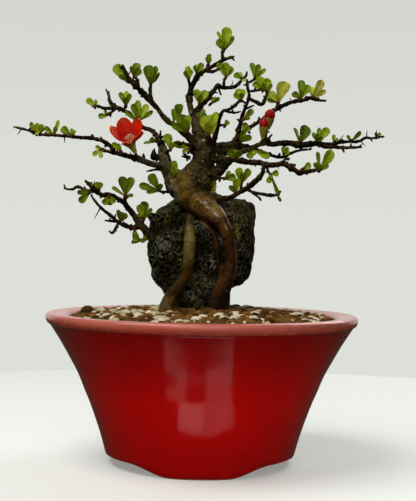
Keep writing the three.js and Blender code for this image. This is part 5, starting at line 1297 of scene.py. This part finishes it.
# the leaves: the seat of each tuft, then its leaves as x, y, z to the tip, width and turn
leafTufts = {
    "left_long_tip": [(-79.8, -15.6, 157.4), (-1.8, -1, 3.8, 2, 20), (1.8, 0.5, 3.4, 2.2, 0),
        (2.2, -2.4, -1.2, 1.8, 0)],
    "left_long_outer": [(-71, -15, 156.8), (-4.3, -0.6, 2.4, 2.2, 0), (2.2, 0.6, 5.8, 1.5, 20),
        (0.8, -2.2, 1.4, 1.4, 0)],
    "left_long_middle": [(-63, -14.4, 156.4), (-4.4, -1, 2.8, 3, 0), (1.6, 1.4, 2, 1.5, 20)],
    "left_mid_tip": [(-49.6, -14.2, 148.8), (-3, -0.6, -2.4, 2, 0), (0.4, -1.6, -3.4, 1.8, 20),
        (-1.8, 0.6, 2, 1.8, 0)],
    "left_limb_top": [(-16.2, -3.3, 151.7), (-2, -1, 6.4, 3.6, 0), (2.2, 0.8, 3, 1.9, 20)],
    "left_limb_foot": [(-14.2, -1.6, 138.2), (0.3, -0.8, 7.2, 2.4, 0), (-1.6, -2.2, 4, 2, 0),
        (1.8, 0.6, 3.4, 1.8, 30)],
    "left_thorny_tip": [(-55.4, 16.8, 173.8), (-3.4, -1, 3.2, 2.6, 0), (0.8, 1.6, 3, 1.6, 30)],
    "left_thorny_upper": [(-39.6, 16.3, 174.6), (-3, -1, 5.6, 2.1, 0), (-0.6, 1.2, 6.6, 2.3, 0),
        (1.9, -0.8, 5, 2, 0), (0, -3, 2.6, 1.8, 0)],
    "left_thorny_inner": [(-33, 13, 167.2), (-0.6, 1.4, 9.4, 2.6, 0), (-2.6, -2.4, 6.8, 2.8, 0),
        (4.2, 0.4, 7, 2.9, 0), (7.2, -1.8, 3, 1.9, 20), (-6.4, -1.6, 3.4, 2.3, 10)],
    "left_upper_spur": [(-25.6, -15.6, 180.9), (-1.6, -0.8, 8, 4.2, 0), (2.2, 1.4, 8.2, 2.5, 20),
        (4.6, -0.8, 4, 1.6, 30), (-0.4, -3, 2.4, 1.8, 0)],
    "left_upper_tip": [(-33.3, -18, 184.2), (0.8, 1.2, 5.8, 3.2, 0), (2.8, -2.2, 2.2, 3, 0),
        (-1, -2, 3.4, 1.9, 0)],
    "left_upper_outer": [(-37.2, -18.9, 181.4), (-5.6, -0.6, 6.6, 4.2, 0), (-2.6, -2.8, 1.8, 1.9, 0)],
    "leader_left": [(-12.8, -2.2, 168), (-0.2, -1, 4.6, 3.6, 0), (-2.8, 0.8, 2.2, 1.9, 0)],
    "leader_left_spur": [(-8.6, 2, 186.2), (-0.4, -0.6, 5.4, 2.3, 0), (2, 1, 4, 1.7, 20),
        (-2, -1.6, 2.6, 1.6, 0)],
    "leader_knee": [(-4.4, 2.4, 189.3), (-0.2, 1, 3.6, 1.9, 0), (2.6, -0.8, 3.8, 2.5, 0),
        (-1.2, -2.4, 2, 1.6, 0)],
    "leader_top": [(8.5, 1, 200.5), (1.9, -0.4, 10.2, 4.2, 0), (-2.8, 1.4, 8.6, 1.7, 20),
        (5.4, 0.8, 5.4, 1.8, 20), (-3.4, -1.4, 3.6, 2.8, 0), (1, -3, 2.8, 1.9, 0)],
    "inner_back_spur": [(10, 20, 190.2), (-2.8, -0.8, 4.6, 2.6, 0), (0.6, -1.6, 6, 3.1, 0),
        (3.4, 0.8, 4.2, 2.5, 0), (-0.4, 2.8, 3.4, 2.1, 0)],
    "leader_inner": [(-2.9, 4.6, 174.8), (-1.4, -1.4, 5.8, 3.2, 0), (2.8, -0.6, 5.6, 3.2, 0),
        (0.6, -3.2, 2.6, 2.1, 0)],
    "inner_back_tip": [(17.6, 24, 189.8), (-3.2, -1, 1.8, 2.6, 0), (1.4, -3, -1.8, 2.1, 0),
        (-1, 1.6, 3, 2.1, 0)],
    "right_leader_top": [(23.7, -9.1, 185.5), (-1.4, 0.6, 7, 2.3, 0), (1.5, -1.2, 5.6, 2.3, 0),
        (4.6, 0.8, 4, 1.6, 20)],
    "right_leader_side": [(27.3, -9.6, 179.9), (-1.4, -1, 5.6, 3.3, 0), (2.6, -0.6, 4.6, 3.2, 0),
        (4.4, 0.4, 2, 2.2, 0), (-4.2, 0.6, 3.2, 3, 0), (0.4, -3, 2, 2.2, 0)],
    "right_leader_hook": [(29.5, -3, 179.2), (1.4, -0.6, 2.8, 1.6, 0), (-1.4, -1.6, 2, 1.5, 0)],
    "right_leader_low": [(18.9, -6, 165.6), (3.8, -1.4, 4.4, 2.4, 0), (2.4, 0.6, 1, 1.6, 0)],
    "right_fork": [(17.6, -3.2, 155.6), (4.2, -1.8, 2.2, 2.6, 0), (0.8, -2, 3.6, 2.3, 0)],
    "front_arch": [(16.4, -22.4, 173.6), (-1.4, 0.4, 4.2, 2.7, 0), (1.4, -0.6, 3.8, 2.4, 0),
        (-3.2, -1.4, 1.4, 2.1, 0), (0.4, -3, 1.6, 1.9, 0)],
    "front_centre": [(2, -8.4, 158.4), (-3.4, -1.4, 7.4, 3.8, 0), (0, 1.6, 9, 3.9, 0),
        (4.2, -0.2, 9.8, 3.6, 0), (-0.4, -3.8, 4.4, 2.7, 0), (3.6, -2.8, 4, 2.4, 0)],
    "left_inner": [(-8.6, -7, 159.4), (-4.6, -2.2, 7.4, 3.4, 0), (-6.4, -3.6, 3.2, 3, 0),
        (0, 0.4, 7.6, 3, 0), (-1.2, -4, 4.6, 2.9, 0)],
    "crown_back": [(-3.2, 18.4, 168.2), (-3.2, 1, 4.6, 3, 0), (1.8, 1.6, 5.2, 3.2, 0),
        (-0.4, 4, 3, 2.6, 0), (3.6, -0.6, 2.4, 2.2, 0)],
    "right_upper_spur": [(35.4, 15.2, 177.4), (3.2, -0.6, 9.6, 5.4, 0), (-3.8, -1.2, 4.2, 3.6, 0),
        (-5, 0.4, 0.6, 2.2, 0), (-1.4, 2.6, 3.2, 2, 0)],
    "right_upper_middle": [(47.6, 21.6, 180.4), (-3.8, -0.8, 2, 2.7, 0), (1, 0.8, 8.4, 3.2, 0),
        (4.2, -1, 5.6, 2.8, 0), (0.4, -3.2, 2.6, 2.2, 0)],
    "right_upper_tip": [(54.6, 23.8, 180.8), (4, -0.6, 8.4, 3.3, 0), (-1.2, 1.4, 5.4, 2.8, 0),
        (5.4, -1, 3.4, 2.1, 0)],
    "right_tip_outer": [(72.6, 15.2, 158.8), (4.8, -0.8, 3.6, 2, 10), (-1.8, -0.8, 1.8, 1.5, 0)],
    "right_long_outer": [(55.2, 7.6, 157.6), (5.4, -1, 5.4, 3.5, 0), (0.8, 1.4, 6.2, 1.7, 20),
        (2, -2.8, 1, 2.2, 0), (-2.4, -0.4, 3.4, 1.6, 0)],
    "right_long_middle": [(46.4, 5.4, 156.8), (-2.2, 0.4, 6.4, 1.8, 20), (3.9, -0.8, 6.8, 4.8, 0),
        (0, -2.6, 2, 1.6, 0)],
    "right_limb_outer": [(39.6, 15.6, 151), (2, -1.4, 1.2, 2, 0), (-0.8, -0.6, 3.6, 1.7, 0),
        (2, 0.6, 3.4, 1.6, 0)],
    "right_long_inner": [(23.8, -3.6, 149.9), (7.2, -1.8, -2.2, 2.8, 0), (-2.4, -1.6, -2.8, 2.8, 0)],
    "right_lower_tip": [(54, -20.2, 141.6), (6, -0.8, 8, 3.8, 0), (-2.6, -1.6, 2.4, 1.9, 0),
        (-1, 1, 8, 1.8, 20), (3.8, -1.2, 1.4, 1.6, 0)],
    "right_hanger": [(31.8, -16.3, 137.6), (-1.8, -1, -3, 2.1, 0), (3, -0.8, 1.8, 2.6, 0),
        (3.6, -0.4, -8.8, 1.7, 20)],
    "right_drop_spur": [(17.9, -13.2, 135.7), (-2.2, -0.8, 5.8, 3.1, 0), (3.6, -0.6, 5.4, 2.8, 0),
        (0.4, -3.4, 3, 2.2, 0)],
    "right_drop_foot": [(14.8, -12.6, 130.6), (0.4, -2.6, 5.6, 3.1, 0), (-2.4, -1.6, 2.6, 2, 0)],
    "right_lower_foot": [(14.6, -9, 147.4), (-3, -1.6, 2.2, 2.9, 0), (2, -2.6, 2, 2.9, 0),
        (-0.6, 1, 3.4, 2.2, 0)],
    "right_dark_twig": [(10.8, -11.3, 137.2), (4, -1, 0.5, 3.2, 0), (1.4, -0.8, 2.6, 1.8, 0)],
    "left_spray": [(-21.9, -11, 131), (-8.6, -1.2, 1.9, 2.9, 0), (-3.8, -0.8, 7, 3.6, 0),
        (1.4, -2.4, 2.2, 2, 0), (-4.8, -2.6, -1.6, 1.6, 0)],
    "left_lower_side": [(-55.4, -9.4, 128.4), (-4.8, -0.4, 0.2, 1.9, 0), (-3.6, -1.4, -3.8, 2.9, 0)],
    "left_lower_middle": [(-45.2, -6.2, 126.4), (-2.4, -1, -2.8, 2.7, 0), (2.4, -1.2, -2, 2.7, 0),
        (0, 1.4, -3.2, 2.3, 0)],
    "left_lower_spur": [(-37.6, -3.2, 129.3), (-1.6, -0.8, 8, 3.7, 0), (2.8, 0.6, 7.8, 3.2, 0),
        (-6.6, -0.4, 2.8, 1.8, 20), (3.4, -1.2, -0.6, 1.5, 0)],
    "left_lower_inner": [(-29.2, 2.8, 118.2), (-2.2, -1.4, 5.8, 3.1, 0), (0.8, 0.4, 7.6, 3.5, 0),
        (4.4, -1.6, 3.8, 1.7, 20), (-3.2, 0.8, 1.2, 1.6, 0)],
}
smallTufts = {  # finer tufts that only grow here
    "long_end": [(-77.1, -15.3, 157.3), (0.5, -0.5, 3.2, 2.2, 0), (1.6, 1, 1.6, 1.6, 40)],
    "mid_joint": [(-40, -12, 149.4), (-3.6, -0.6, 3.2, 2.6, 0), (-0.8, 1, 2.4, 1.2, 0)],
    "limb_side": [(-24.3, 3.5, 155.1), (-5.3, -1.5, -0.2, 1.8, 60), (-1.5, -2, 1.5, 1.2, 0)],
    "thorny_low": [(-49.2, 17.5, 169.4), (-4, -1, -1.4, 2.4, 0), (-1.2, -1.5, 1.4, 1.2, 0)],
    "upper_foot": [(-14.9, -8, 163.6), (0.4, -0.5, 6, 2, 0)],
    "low_twig": [(-24.9, -5, 136.4), (1.6, -0.5, 1.6, 2.2, 0), (-0.4, -1, -2.4, 1.4, 0)],
    "leader_spur": [(0.9, 2.5, 193.9), (0.2, -0.3, 3.9, 2, 0), (-1, -0.8, 2, 1.2, 0)],
    "leader_shoot": [(6.3, -2, 190.2), (2.6, -0.5, 1.2, 1.8, 0), (1.6, -1.2, 2.2, 1.6, 0)],
    "back_low": [(3.1, 8, 174.8), (1.9, -0.6, 2.9, 1.4, 0), (3.8, -0.5, 2.4, 1.6, 10)],
    "leader_foot": [(18.6, -4.5, 160.2), (1.6, -0.8, 3.4, 2.4, 0), (2.6, -2, 1, 1.8, 0)],
    "arch_twiglet": [(9.9, -14, 162.2), (1.2, -0.8, 1.2, 1.8, 0), (0.5, 0.3, 2, 1.2, 0)],
    "inner_low": [(-8.4, -6.5, 150.9), (-6, -0.8, 2.6, 3, 0), (-2, -1.5, -1.6, 1.8, 0)],
    "tip_foot": [(64, 11.2, 157.4), (-0.6, -0.4, 3, 1.5, 0), (1.6, -0.8, 1, 1.2, 0)],
    "tip_end": [(86, 19.2, 161.3), (1.6, -0.5, 1.2, 1.4, 0), (-0.8, -0.5, 1.4, 1.2, 0)],
    "lower_joint": [(47, -19.2, 141.8), (2.4, -1.6, 1, 3, 0)],
    "drop_end": [(35.4, -18, 129.1), (0.5, -0.4, -3, 1.3, 0), (0.6, -0.5, 1.8, 1, 0)],
    "dark_foot": [(4.4, -4, 133), (0.8, -1, 2.4, 1.8, 0), (0.6, -1, -2.4, 1.8, 0)],
    "lower_fork": [(-50.2, -7, 131.5), (-1.6, -0.5, 2.6, 2.2, 0), (1, -0.4, 2.6, 2.2, 0)],
    "under_joint": [(-40.2, 2.4, 116.8), (-1.4, -0.5, 4.6, 1.8, 0), (0.4, -0.8, 3.6, 2.2, 0),
        (3, -0.4, 2.6, 2.4, 0)],
    "under_hanger": [(-33.4, 2.6, 111.4), (1.2, -1, -5.2, 3, 0)],
    "lower_foot": [(-27.6, 5.6, 107.4), (-7.4, -1.5, -1.2, 1.8, 20), (-2.5, -1, -1.6, 1.2, 0)],
}
leaf = {
    "across": 4,
    "along": 12,
    "thick": 0.26,
    "crease": 0.26,
    "arch": 0.12,
    "widest": 0.74,  # how far along the leaf
    "teeth": 0.05,
    "lean": 22,  # degrees either way that a leaf rolls out of its place
    "foot": 1.5,  # how much lower than its seat a leaf starts
    "broad": 1.24,  # how much wider the leaves are than the tables say
    "extra": (0, 1),  # small leaves added round each tuft's bud
    "budSize": (0.75, 0.75, 1.4),
}
leafTones = {  # tufts whose tone isn't left to chance: 0 dark green, 1 yellow
    "crown_back": 0.3,
    "front_centre": 0.72,
    "right_upper_tip": 0.9,
    "right_upper_spur": 0.74,
    "leader_top": 0.45,
    "left_upper_spur": 0.3,
}


def leafWidth(share):  # half width along the leaf: a long wedge, then a broad blunt end
    if share < leaf["widest"]:
        return 0.12 + 0.88 * smoothStep(share, -0.12, leaf["widest"] + 0.04) ** 1.1
    return (1 - min(1, (share - leaf["widest"]) / (1 - leaf["widest"])) ** 2.6) ** 0.5


def leafPoint(share, side):
    share = 1 - (1 - share) ** 1.5
    half = leafWidth(share)
    tooth = leaf["teeth"] * math.sin(share * 40) * smoothStep(share, 0.3, 0.5) * (share < 0.99)
    reach = half * (1 + tooth) if abs(side) > 0.9 else half
    return Vector((side * reach, share, leaf["crease"] * abs(side) ** 1.3 * half))


def setLeaf(shape, seat, foot, x, y, z, width, turn, rng, tone):
    along = Vector((x, y, z)) + seat - foot
    width *= leaf["broad"]
    length = along.length
    along.normalize()
    across = along.cross(Vector((0, -1, 0)))
    across = (across if across.length > 0.1 else along.cross(Vector((0.3, 0, 1)))).normalized()
    roll = math.radians(turn + rng.uniform(-leaf["lean"], leaf["lean"]))
    across.rotate(Matrix.Rotation(roll, 3, along))
    face = across.cross(along)
    blade = copyOf(shape)
    cup = leaf["arch"] * rng.uniform(0.5, 1.6)
    sway = rng.uniform(-0.08, 0.08)
    for vertex in blade.data.vertices:
        u, v, w = vertex.co
        side = u * width / 2 + sway * length * v * v
        wave = 0.02 * length * math.sin(9 * v + 3 * u + tone * 9)
        height = w * width / 2 - cup * length * v * v + wave
        vertex.co = (foot + along * (v * length) + across * side + face * height) * mm
    setValues(blade, "tone", [max(0, min(1, tone))] * len(blade.data.vertices))
    return blade


def makeTuft(shape, bud, name, seat, leaves, rng):
    seat = Vector(seat)
    heading = sum((Vector(item[:3]).normalized() for item in leaves), Vector()).normalized()
    tone = leafTones.get(name, rng.uniform(0.3, 0.62))
    foot = seat - heading * leaf["foot"]
    blades = []
    for item in leaves:
        blades.append(setLeaf(shape, seat, foot, *item, rng, tone + rng.uniform(-0.18, 0.18)))
    for _ in range(rng.randint(*leaf["extra"])):
        tilt = Vector((rng.uniform(-1, 1), rng.uniform(-1, 0.6), rng.uniform(-0.3, 1)))
        tip = (heading + tilt * 0.8).normalized() * rng.uniform(2.2, 3.4)
        width, tint = rng.uniform(1.2, 1.9), tone + rng.uniform(-0.1, 0.3)
        blades.append(setLeaf(shape, seat, foot, *tip, width, 0, rng, tint))
    tuft = joinAll(name, blades)
    applyModifier(tuft, "SOLIDIFY", thickness=leaf["thick"] * mm, offset=0)
    turn = up.rotation_difference(heading).to_matrix().to_4x4()
    scale = Matrix.Diagonal((*(part * mm for part in leaf["budSize"]), 1))
    scales = copyOf(bud, Matrix.Translation((foot + heading * 0.5) * mm) @ turn @ scale)
    setValues(scales, "tone", [-1.0] * len(scales.data.vertices))  # below 0 it is coloured as a bud
    tuft = joinAll(name, [tuft, scales])
    smoothShade(tuft, 60)
    return tuft


def makeLeaves():
    rng = random.Random(23)
    shape = bendSheet(leaf["along"], leaf["across"], leafPoint)
    weld(shape, 0.01)
    bpy.ops.mesh.primitive_uv_sphere_add(segments=8, ring_count=6, radius=1)
    bud = bpy.context.object
    green = leafFinish()
    for name, (seat, *leaves) in leafTufts.items():
        tuft = makeTuft(shape, bud, name, seat, leaves, rng)
        finishPiece(tuft, "tuft_" + name, green, ["leaves_" + name])
    tufts = []
    for name, (seat, *leaves) in smallTufts.items():
        tufts.append(makeTuft(shape, bud, name, seat, leaves, rng))
    finishPiece(joinAll("small_tufts", tufts), "small_tufts", green)
    bpy.data.objects.remove(shape)
    bpy.data.objects.remove(bud)


def leafFinish():
    waxy = {"Specular_IOR_Level": 0.12, "Subsurface_Weight": 0.1, "Subsurface_Scale": 0.0008}
    green = Finish("quinceLeaf", **waxy)
    green.shader.inputs["Subsurface Radius"].default_value = (0.5, 1, 0.15)
    tone = green.value("tone")
    uv = green.add("TexCoord", output="UV")
    across = abs(green.axis(uv, "X") * 2 - 1)
    along = green.axis(uv, "Y")
    colour = green.steps(
        tone,
        (0.0, paint(68, 90, 0)),
        (0.35, paint(112, 141, 2)),
        (0.6, paint(156, 179, 12)),
        (0.85, paint(194, 204, 52)),
        (1.0, paint(188, 176, 64)),
    )
    blotch = green.mottle(2.4, detail=3)
    colour = green.blend(blotch.rise(0.45, 0.65) * 0.55, colour, paint(66, 88, 0))
    vein = (along * 34 - across * 12).sine().rise(0.75, 1.0) * (1 - across.rise(0.75, 1.0)) * 0.25
    midrib = 1 - across.rise(0.02, 0.14)
    colour = green.blend(vein, colour, paint(172, 186, 60))
    colour = green.blend(midrib * 0.35, colour, paint(186, 196, 76))
    colour = green.blend(across.rise(0.8, 1.0) * 0.4, colour, paint(132, 98, 14))
    colour = green.blend((1 - along.rise(0.05, 0.3)) * 0.6, colour, paint(124, 84, 24))
    scale = 1 - tone.rise(-0.6, -0.2)
    brown = green.blend(green.mottle(0.8), paint(60, 20, 6), paint(112, 66, 26))
    colour = green.blend(scale, colour, brown)
    relief = vein * -0.06 - midrib * 0.08 + blotch * 0.05
    return green.surface(colour, 0.36 + blotch * 0.2 + scale * 0.2, relief, 1)


makeLeaves()
print("leaves set")


flower = {
    "seat": (-35.3, -11.4, 152.9),
    "axis": (-0.12, -0.42, 0.9),
    "stalkAxis": (-0.45, -0.3, 0.84),
    "steps": 14,  # across and along each petal
    "width": 4.3,  # half the width of a petal
    "length": 12.6,
    "startAngle": 58,  # from the axis, in degrees, where a petal leaves the cup
    "bend": 50,  # how far it turns back up by its tip
    "petalThick": 0.3,
    "sepalThick": 0.35,
    "cup": [(0, -0.3), (1.2, -0.3), (2.1, 0.5), (1.6, 0.9), (0, 0.9)],
    "cupSteps": 16,
    "calyx": [(0, -5.6), (0.9, -5.6), (1.3, -3.8), (2.2, -1), (2, -0.5), (0, -0.5)],
    "stamens": 20,
    "stamenReach": 2.4,
    "stamenHeight": (2.2, 4.2),
    "anther": 0.36,
}
petals = [  # direction round the axis, size, and degrees that it leans out
    (112, 1.0, 0),
    (46, 0.97, 1),
    (156, 0.92, 13),
    (256, 0.6, 35),
    (328, 0.75, 15),
]


def onAxis(seat, axis):
    turn = up.rotation_difference(Vector(axis).normalized()).to_matrix().to_4x4()
    return Matrix.Translation(inMetres(seat)) @ turn @ Matrix.Scale(mm, 4)


def petalWidth(share):  # narrow foot, widest past the middle, round end
    if share < 0.56:
        return 0.24 + 0.76 * math.sin(share / 0.56 * math.pi / 2)
    return math.sqrt(max(0, 1 - ((share - 0.56) / 0.44) ** 2.3))


def petalPoint(share, side, petal, number):
    angle, size, lean = petal
    seed = 1.7 * number
    share = 1 - (1 - share) ** 1.5
    start, bend = math.radians(flower["startAngle"] + lean), math.radians(flower["bend"])
    length = flower["length"] * size
    radius = 0.9 + length * (math.cos(start - bend * share) - math.cos(start)) / bend
    height = length * (math.sin(start) - math.sin(start - bend * share)) / bend
    half = flower["width"] * size * petalWidth(share)
    curl = max(radius, 3.2) * 1.3
    turn = side * half / curl
    out = radius - curl * (1 - math.cos(turn))
    over = curl * math.sin(turn)
    ruffle = 0.2 * share * share * math.sin(8 * side + 2 * seed)
    out += 0.3 * share * math.sin(3.6 * side + seed) + ruffle
    height += 0.25 * share * math.sin(5 * side + seed)
    place = Vector((out, over, height))
    place.rotate(Matrix.Rotation(math.radians(angle), 3, "Z"))
    return place * (1 - 0.02 * (number % 2))  # every other petal lies a little deeper


def makeFlower():
    place = onAxis(flower["seat"], flower["axis"])
    steps = flower["steps"]
    parts = []
    for i, petal in enumerate(petals):
        sheet = bendSheet(steps, steps, lambda share, side: petalPoint(share, side, petal, i))
        weld(sheet, 0.01)
        applyModifier(sheet, "SOLIDIFY", thickness=flower["petalThick"], offset=0)
        parts.append(sheet)
    parts.append(spinSmall("cup", flower["cup"], flower["cupSteps"]))
    blossom = joinAll("blossom", parts)
    blossom.data.transform(place)
    smoothShade(blossom, 60)
    finishPiece(blossom, "open_petals", petalFinish(), ["flower_petals"])
    makeStamens(place)
    parts = [spinSmall("calyx", flower["calyx"])]
    for angle in range(0, 360, 72):
        sepal = bendSheet(6, 4, lambda share, side: sepalPoint(share, side, angle))
        applyModifier(sepal, "SOLIDIFY", thickness=flower["sepalThick"], offset=0)
        parts.append(sepal)
    calyx = joinAll("calyx", parts)
    calyx.data.transform(onAxis(flower["seat"], flower["stalkAxis"]))
    smoothShade(calyx, 60)
    finishPiece(calyx, "flower_cup", calyxFinish(), ["flower_calyx"])


def sepalPoint(share, side, angle):
    radius = 2.1 + 1.7 * share
    turn = math.radians(angle) + side * 1.5 * (1 - 0.8 * share**1.6) / radius
    return Vector((radius * math.cos(turn), radius * math.sin(turn), -1.3 + 2.6 * share))


def makeStamens(place):
    rng = random.Random(19)
    threads, anthers = [], []
    for i in range(flower["stamens"]):
        angle = goldenTurn * i
        reach = flower["stamenReach"] * math.sqrt((i + 0.5) / flower["stamens"])
        x, y = reach * math.cos(angle), reach * math.sin(angle)
        z = rng.uniform(*flower["stamenHeight"])
        path = [(x * 0.3, y * 0.3, 0.9, 0.16), (x * 0.8, y * 0.8, z * 0.6, 0.14), (x, y, z, 0.12)]
        threads.append(limbMesh(path, 6, 4))
        size, tip = flower["anther"] * mm, inMetres((x, y, z))
        bpy.ops.mesh.primitive_ico_sphere_add(subdivisions=2, radius=size, location=tip)
        bpy.ops.object.transform_apply()
        anthers.append(bpy.context.object)
    threads, anthers = joinAll("threads", threads), joinAll("anthers", anthers)
    weld(threads, 0.02 * mm)
    pale = Finish("stamenThread", Roughness=0.5)
    colour = pale.blend(pale.mottle(1.5), paint(214, 130, 112), paint(236, 190, 168))
    threads.data.materials.append(pale.surface(colour, None, pale.mottle(0.4), 0.03))
    yellow = Finish("stamenPollen", Roughness=0.8)
    colour = yellow.blend(yellow.mottle(0.5), paint(206, 150, 84), paint(236, 206, 150))
    anthers.data.materials.append(yellow.surface(colour, None, yellow.mottle(0.3), 0.1))
    stamens = joinAll("stamens", [threads, anthers])
    stamens.data.transform(place @ Matrix.Scale(1000, 4))
    smoothShade(stamens, 60)
    finishPiece(stamens, "stamens", None, ["flower_stamens"])


def petalFinish():
    soft = {"Specular_IOR_Level": 0.12, "Subsurface_Weight": 0.35, "Subsurface_Scale": 0.001}
    red = Finish("scarletPetal", **soft)
    red.shader.inputs["Subsurface Radius"].default_value = (1, 0.25, 0.1)
    uv = red.add("TexCoord", output="UV")
    across = abs(red.axis(uv, "X") * 2 - 1)
    along = red.axis(uv, "Y")
    cloud = red.mottle(3.2, detail=2)
    # paler orange towards the tips: the petal's own colour, and painted light shining through the thin
    # petal ends
    colour = red.steps(
        along + cloud * 0.25 - 0.12,
        (0.0, paint(214, 96, 74)),
        (0.1, paint(176, 16, 6)),
        (0.28, paint(170, 2, 0)),
        (0.6, paint(234, 44, 6)),
        (1.0, paint(255, 116, 62)),
    )
    colour = red.blend(across.rise(0.6, 1.0) * 0.3, colour, paint(206, 20, 2))
    vein = (across * 30 + along * 2).sine().rise(0.6, 1.0) * 0.2
    colour = red.blend(vein, colour, paint(190, 6, 0))
    return red.surface(colour, 0.42 + cloud * 0.15, cloud * 0.2 - vein * 0.15, 1)


def calyxFinish():
    green = Finish("calyxGreen", Specular_IOR_Level=0.1)
    place = green.place()
    colour = green.blend(green.mottle(1.6, detail=3), paint(186, 186, 54), paint(232, 226, 132))
    colour = green.blend(green.mottle(3.4, place).rise(0.5, 0.75) * 0.6, colour, paint(170, 60, 30))
    return green.surface(colour, 0.45 + green.mottle(2) * 0.2, green.mottle(0.7), 0.12)


makeFlower()
print("flower open")


flowerBuds = [  # name, seat, axis, length and radius
    ("bud_1", (27.9, -2, 156.5), (0.05, -0.02, 1), 10.2, 2.05),
    ("bud_2", (30.3, 1.6, 161.5), (0.14, 0, 1), 9.8, 2.4),
]
budShape = {  # outlines in shares of the radius, and of the bud's length or the cup's height
    "core": [(0, 0.5), (0.5, 0.52), (0.8, 0.6), (0.86, 0.74), (0.7, 0.86), (0.35, 0.96), (0, 0.98)],
    "cup": [
        (0, 0), (0.36, 0), (0.5, 0.15), (0.68, 0.36),
        (0.92, 0.68), (0.99, 0.94), (0.92, 1), (0, 1),
    ],
    "cupHeight": 0.53,
    "thick": 0.3,
}


def budPetal(share, side, radius, length, angle):  # one of the petals folded over each other
    height = (0.52 + 0.49 * share) * length
    swell = math.sin(math.pi * min(1, 0.22 + 0.76 * share) ** 1.1)
    reach = radius * (0.12 + 0.93 * max(0, swell) ** 0.62) + 0.16 * side
    turn = math.radians(angle) + side * 0.95 + 0.7 * share
    height -= 0.35 * side**2 * share
    return Vector((reach * math.cos(turn), reach * math.sin(turn), height))


def spinBud(part, radius, height):
    return spinSmall(part, [(out * radius, along * height) for out, along in budShape[part]])


def makeBud(name, seat, axis, length, radius):
    place = onAxis(seat, axis)
    parts = []
    for angle in range(0, 360, 72):
        fold = bendSheet(10, 8, lambda share, side: budPetal(share, side, radius, length, angle))
        applyModifier(fold, "SOLIDIFY", thickness=budShape["thick"], offset=-1)
        parts.append(fold)
    folds = joinAll(name, parts + [spinBud("core", radius, length)])
    folds.data.transform(place)
    smoothShade(folds, 60)
    finishPiece(folds, name + "_folds", budFinish(), [name + "_petals"])
    top = budShape["cupHeight"] * length
    parts = [spinBud("cup", radius, top)]
    for angle in range(36, 360, 72):
        tooth = bendSheet(5, 4, lambda share, side: budTooth(share, side, radius, top, angle))
        applyModifier(tooth, "SOLIDIFY", thickness=budShape["thick"], offset=0)
        parts.append(tooth)
    cup = joinAll(name, parts)
    cup.data.transform(place)
    smoothShade(cup, 60)
    finishPiece(cup, name + "_cup", budCupFinish(), [name + "_calyx"])


def budTooth(share, side, radius, top, angle):
    reach = radius * (0.97 + 0.06 * share)
    turn = math.radians(angle) + side * 0.55 * (1 - 0.85 * share**1.4)
    return Vector((reach * math.cos(turn), reach * math.sin(turn), top * (0.86 + 0.24 * share)))


def budFinish():
    soft = {"Specular_IOR_Level": 0.12, "Subsurface_Weight": 0.1, "Subsurface_Scale": 0.0008}
    red = Finish("crimsonBud", **soft)
    uv = red.add("TexCoord", output="UV")
    across = abs(red.axis(uv, "X") * 2 - 1)
    along = red.axis(uv, "Y")
    cloud = red.mottle(2, detail=3)
    colour = red.blend(cloud.rise(0.3, 0.7), paint(176, 6, 12), paint(220, 34, 34))
    # painted shade: darker along each fold's edges, where it tucks under the next
    colour = red.blend(across.rise(0.7, 1.0) * 0.6, colour, paint(122, 0, 2))
    # painted highlight: paler at the bud's top
    colour = red.blend(along.rise(0.7, 1.0) * 0.3, colour, paint(226, 84, 76))
    return red.surface(colour, 0.32 + cloud * 0.2, cloud, 0.12)


def budCupFinish():
    green = Finish("budCup", Specular_IOR_Level=0.12)
    place = green.place()
    cloud = green.mottle(1.8, detail=3)
    colour = green.blend(cloud, paint(118, 122, 14), paint(178, 174, 60))
    colour = green.blend(green.mottle(3, place).rise(0.5, 0.75) * 0.6, colour, paint(150, 44, 18))
    return green.surface(colour, 0.42 + cloud * 0.2, green.mottle(0.6), 0.1)


for bud in flowerBuds:
    makeBud(*bud)
print("buds closed")
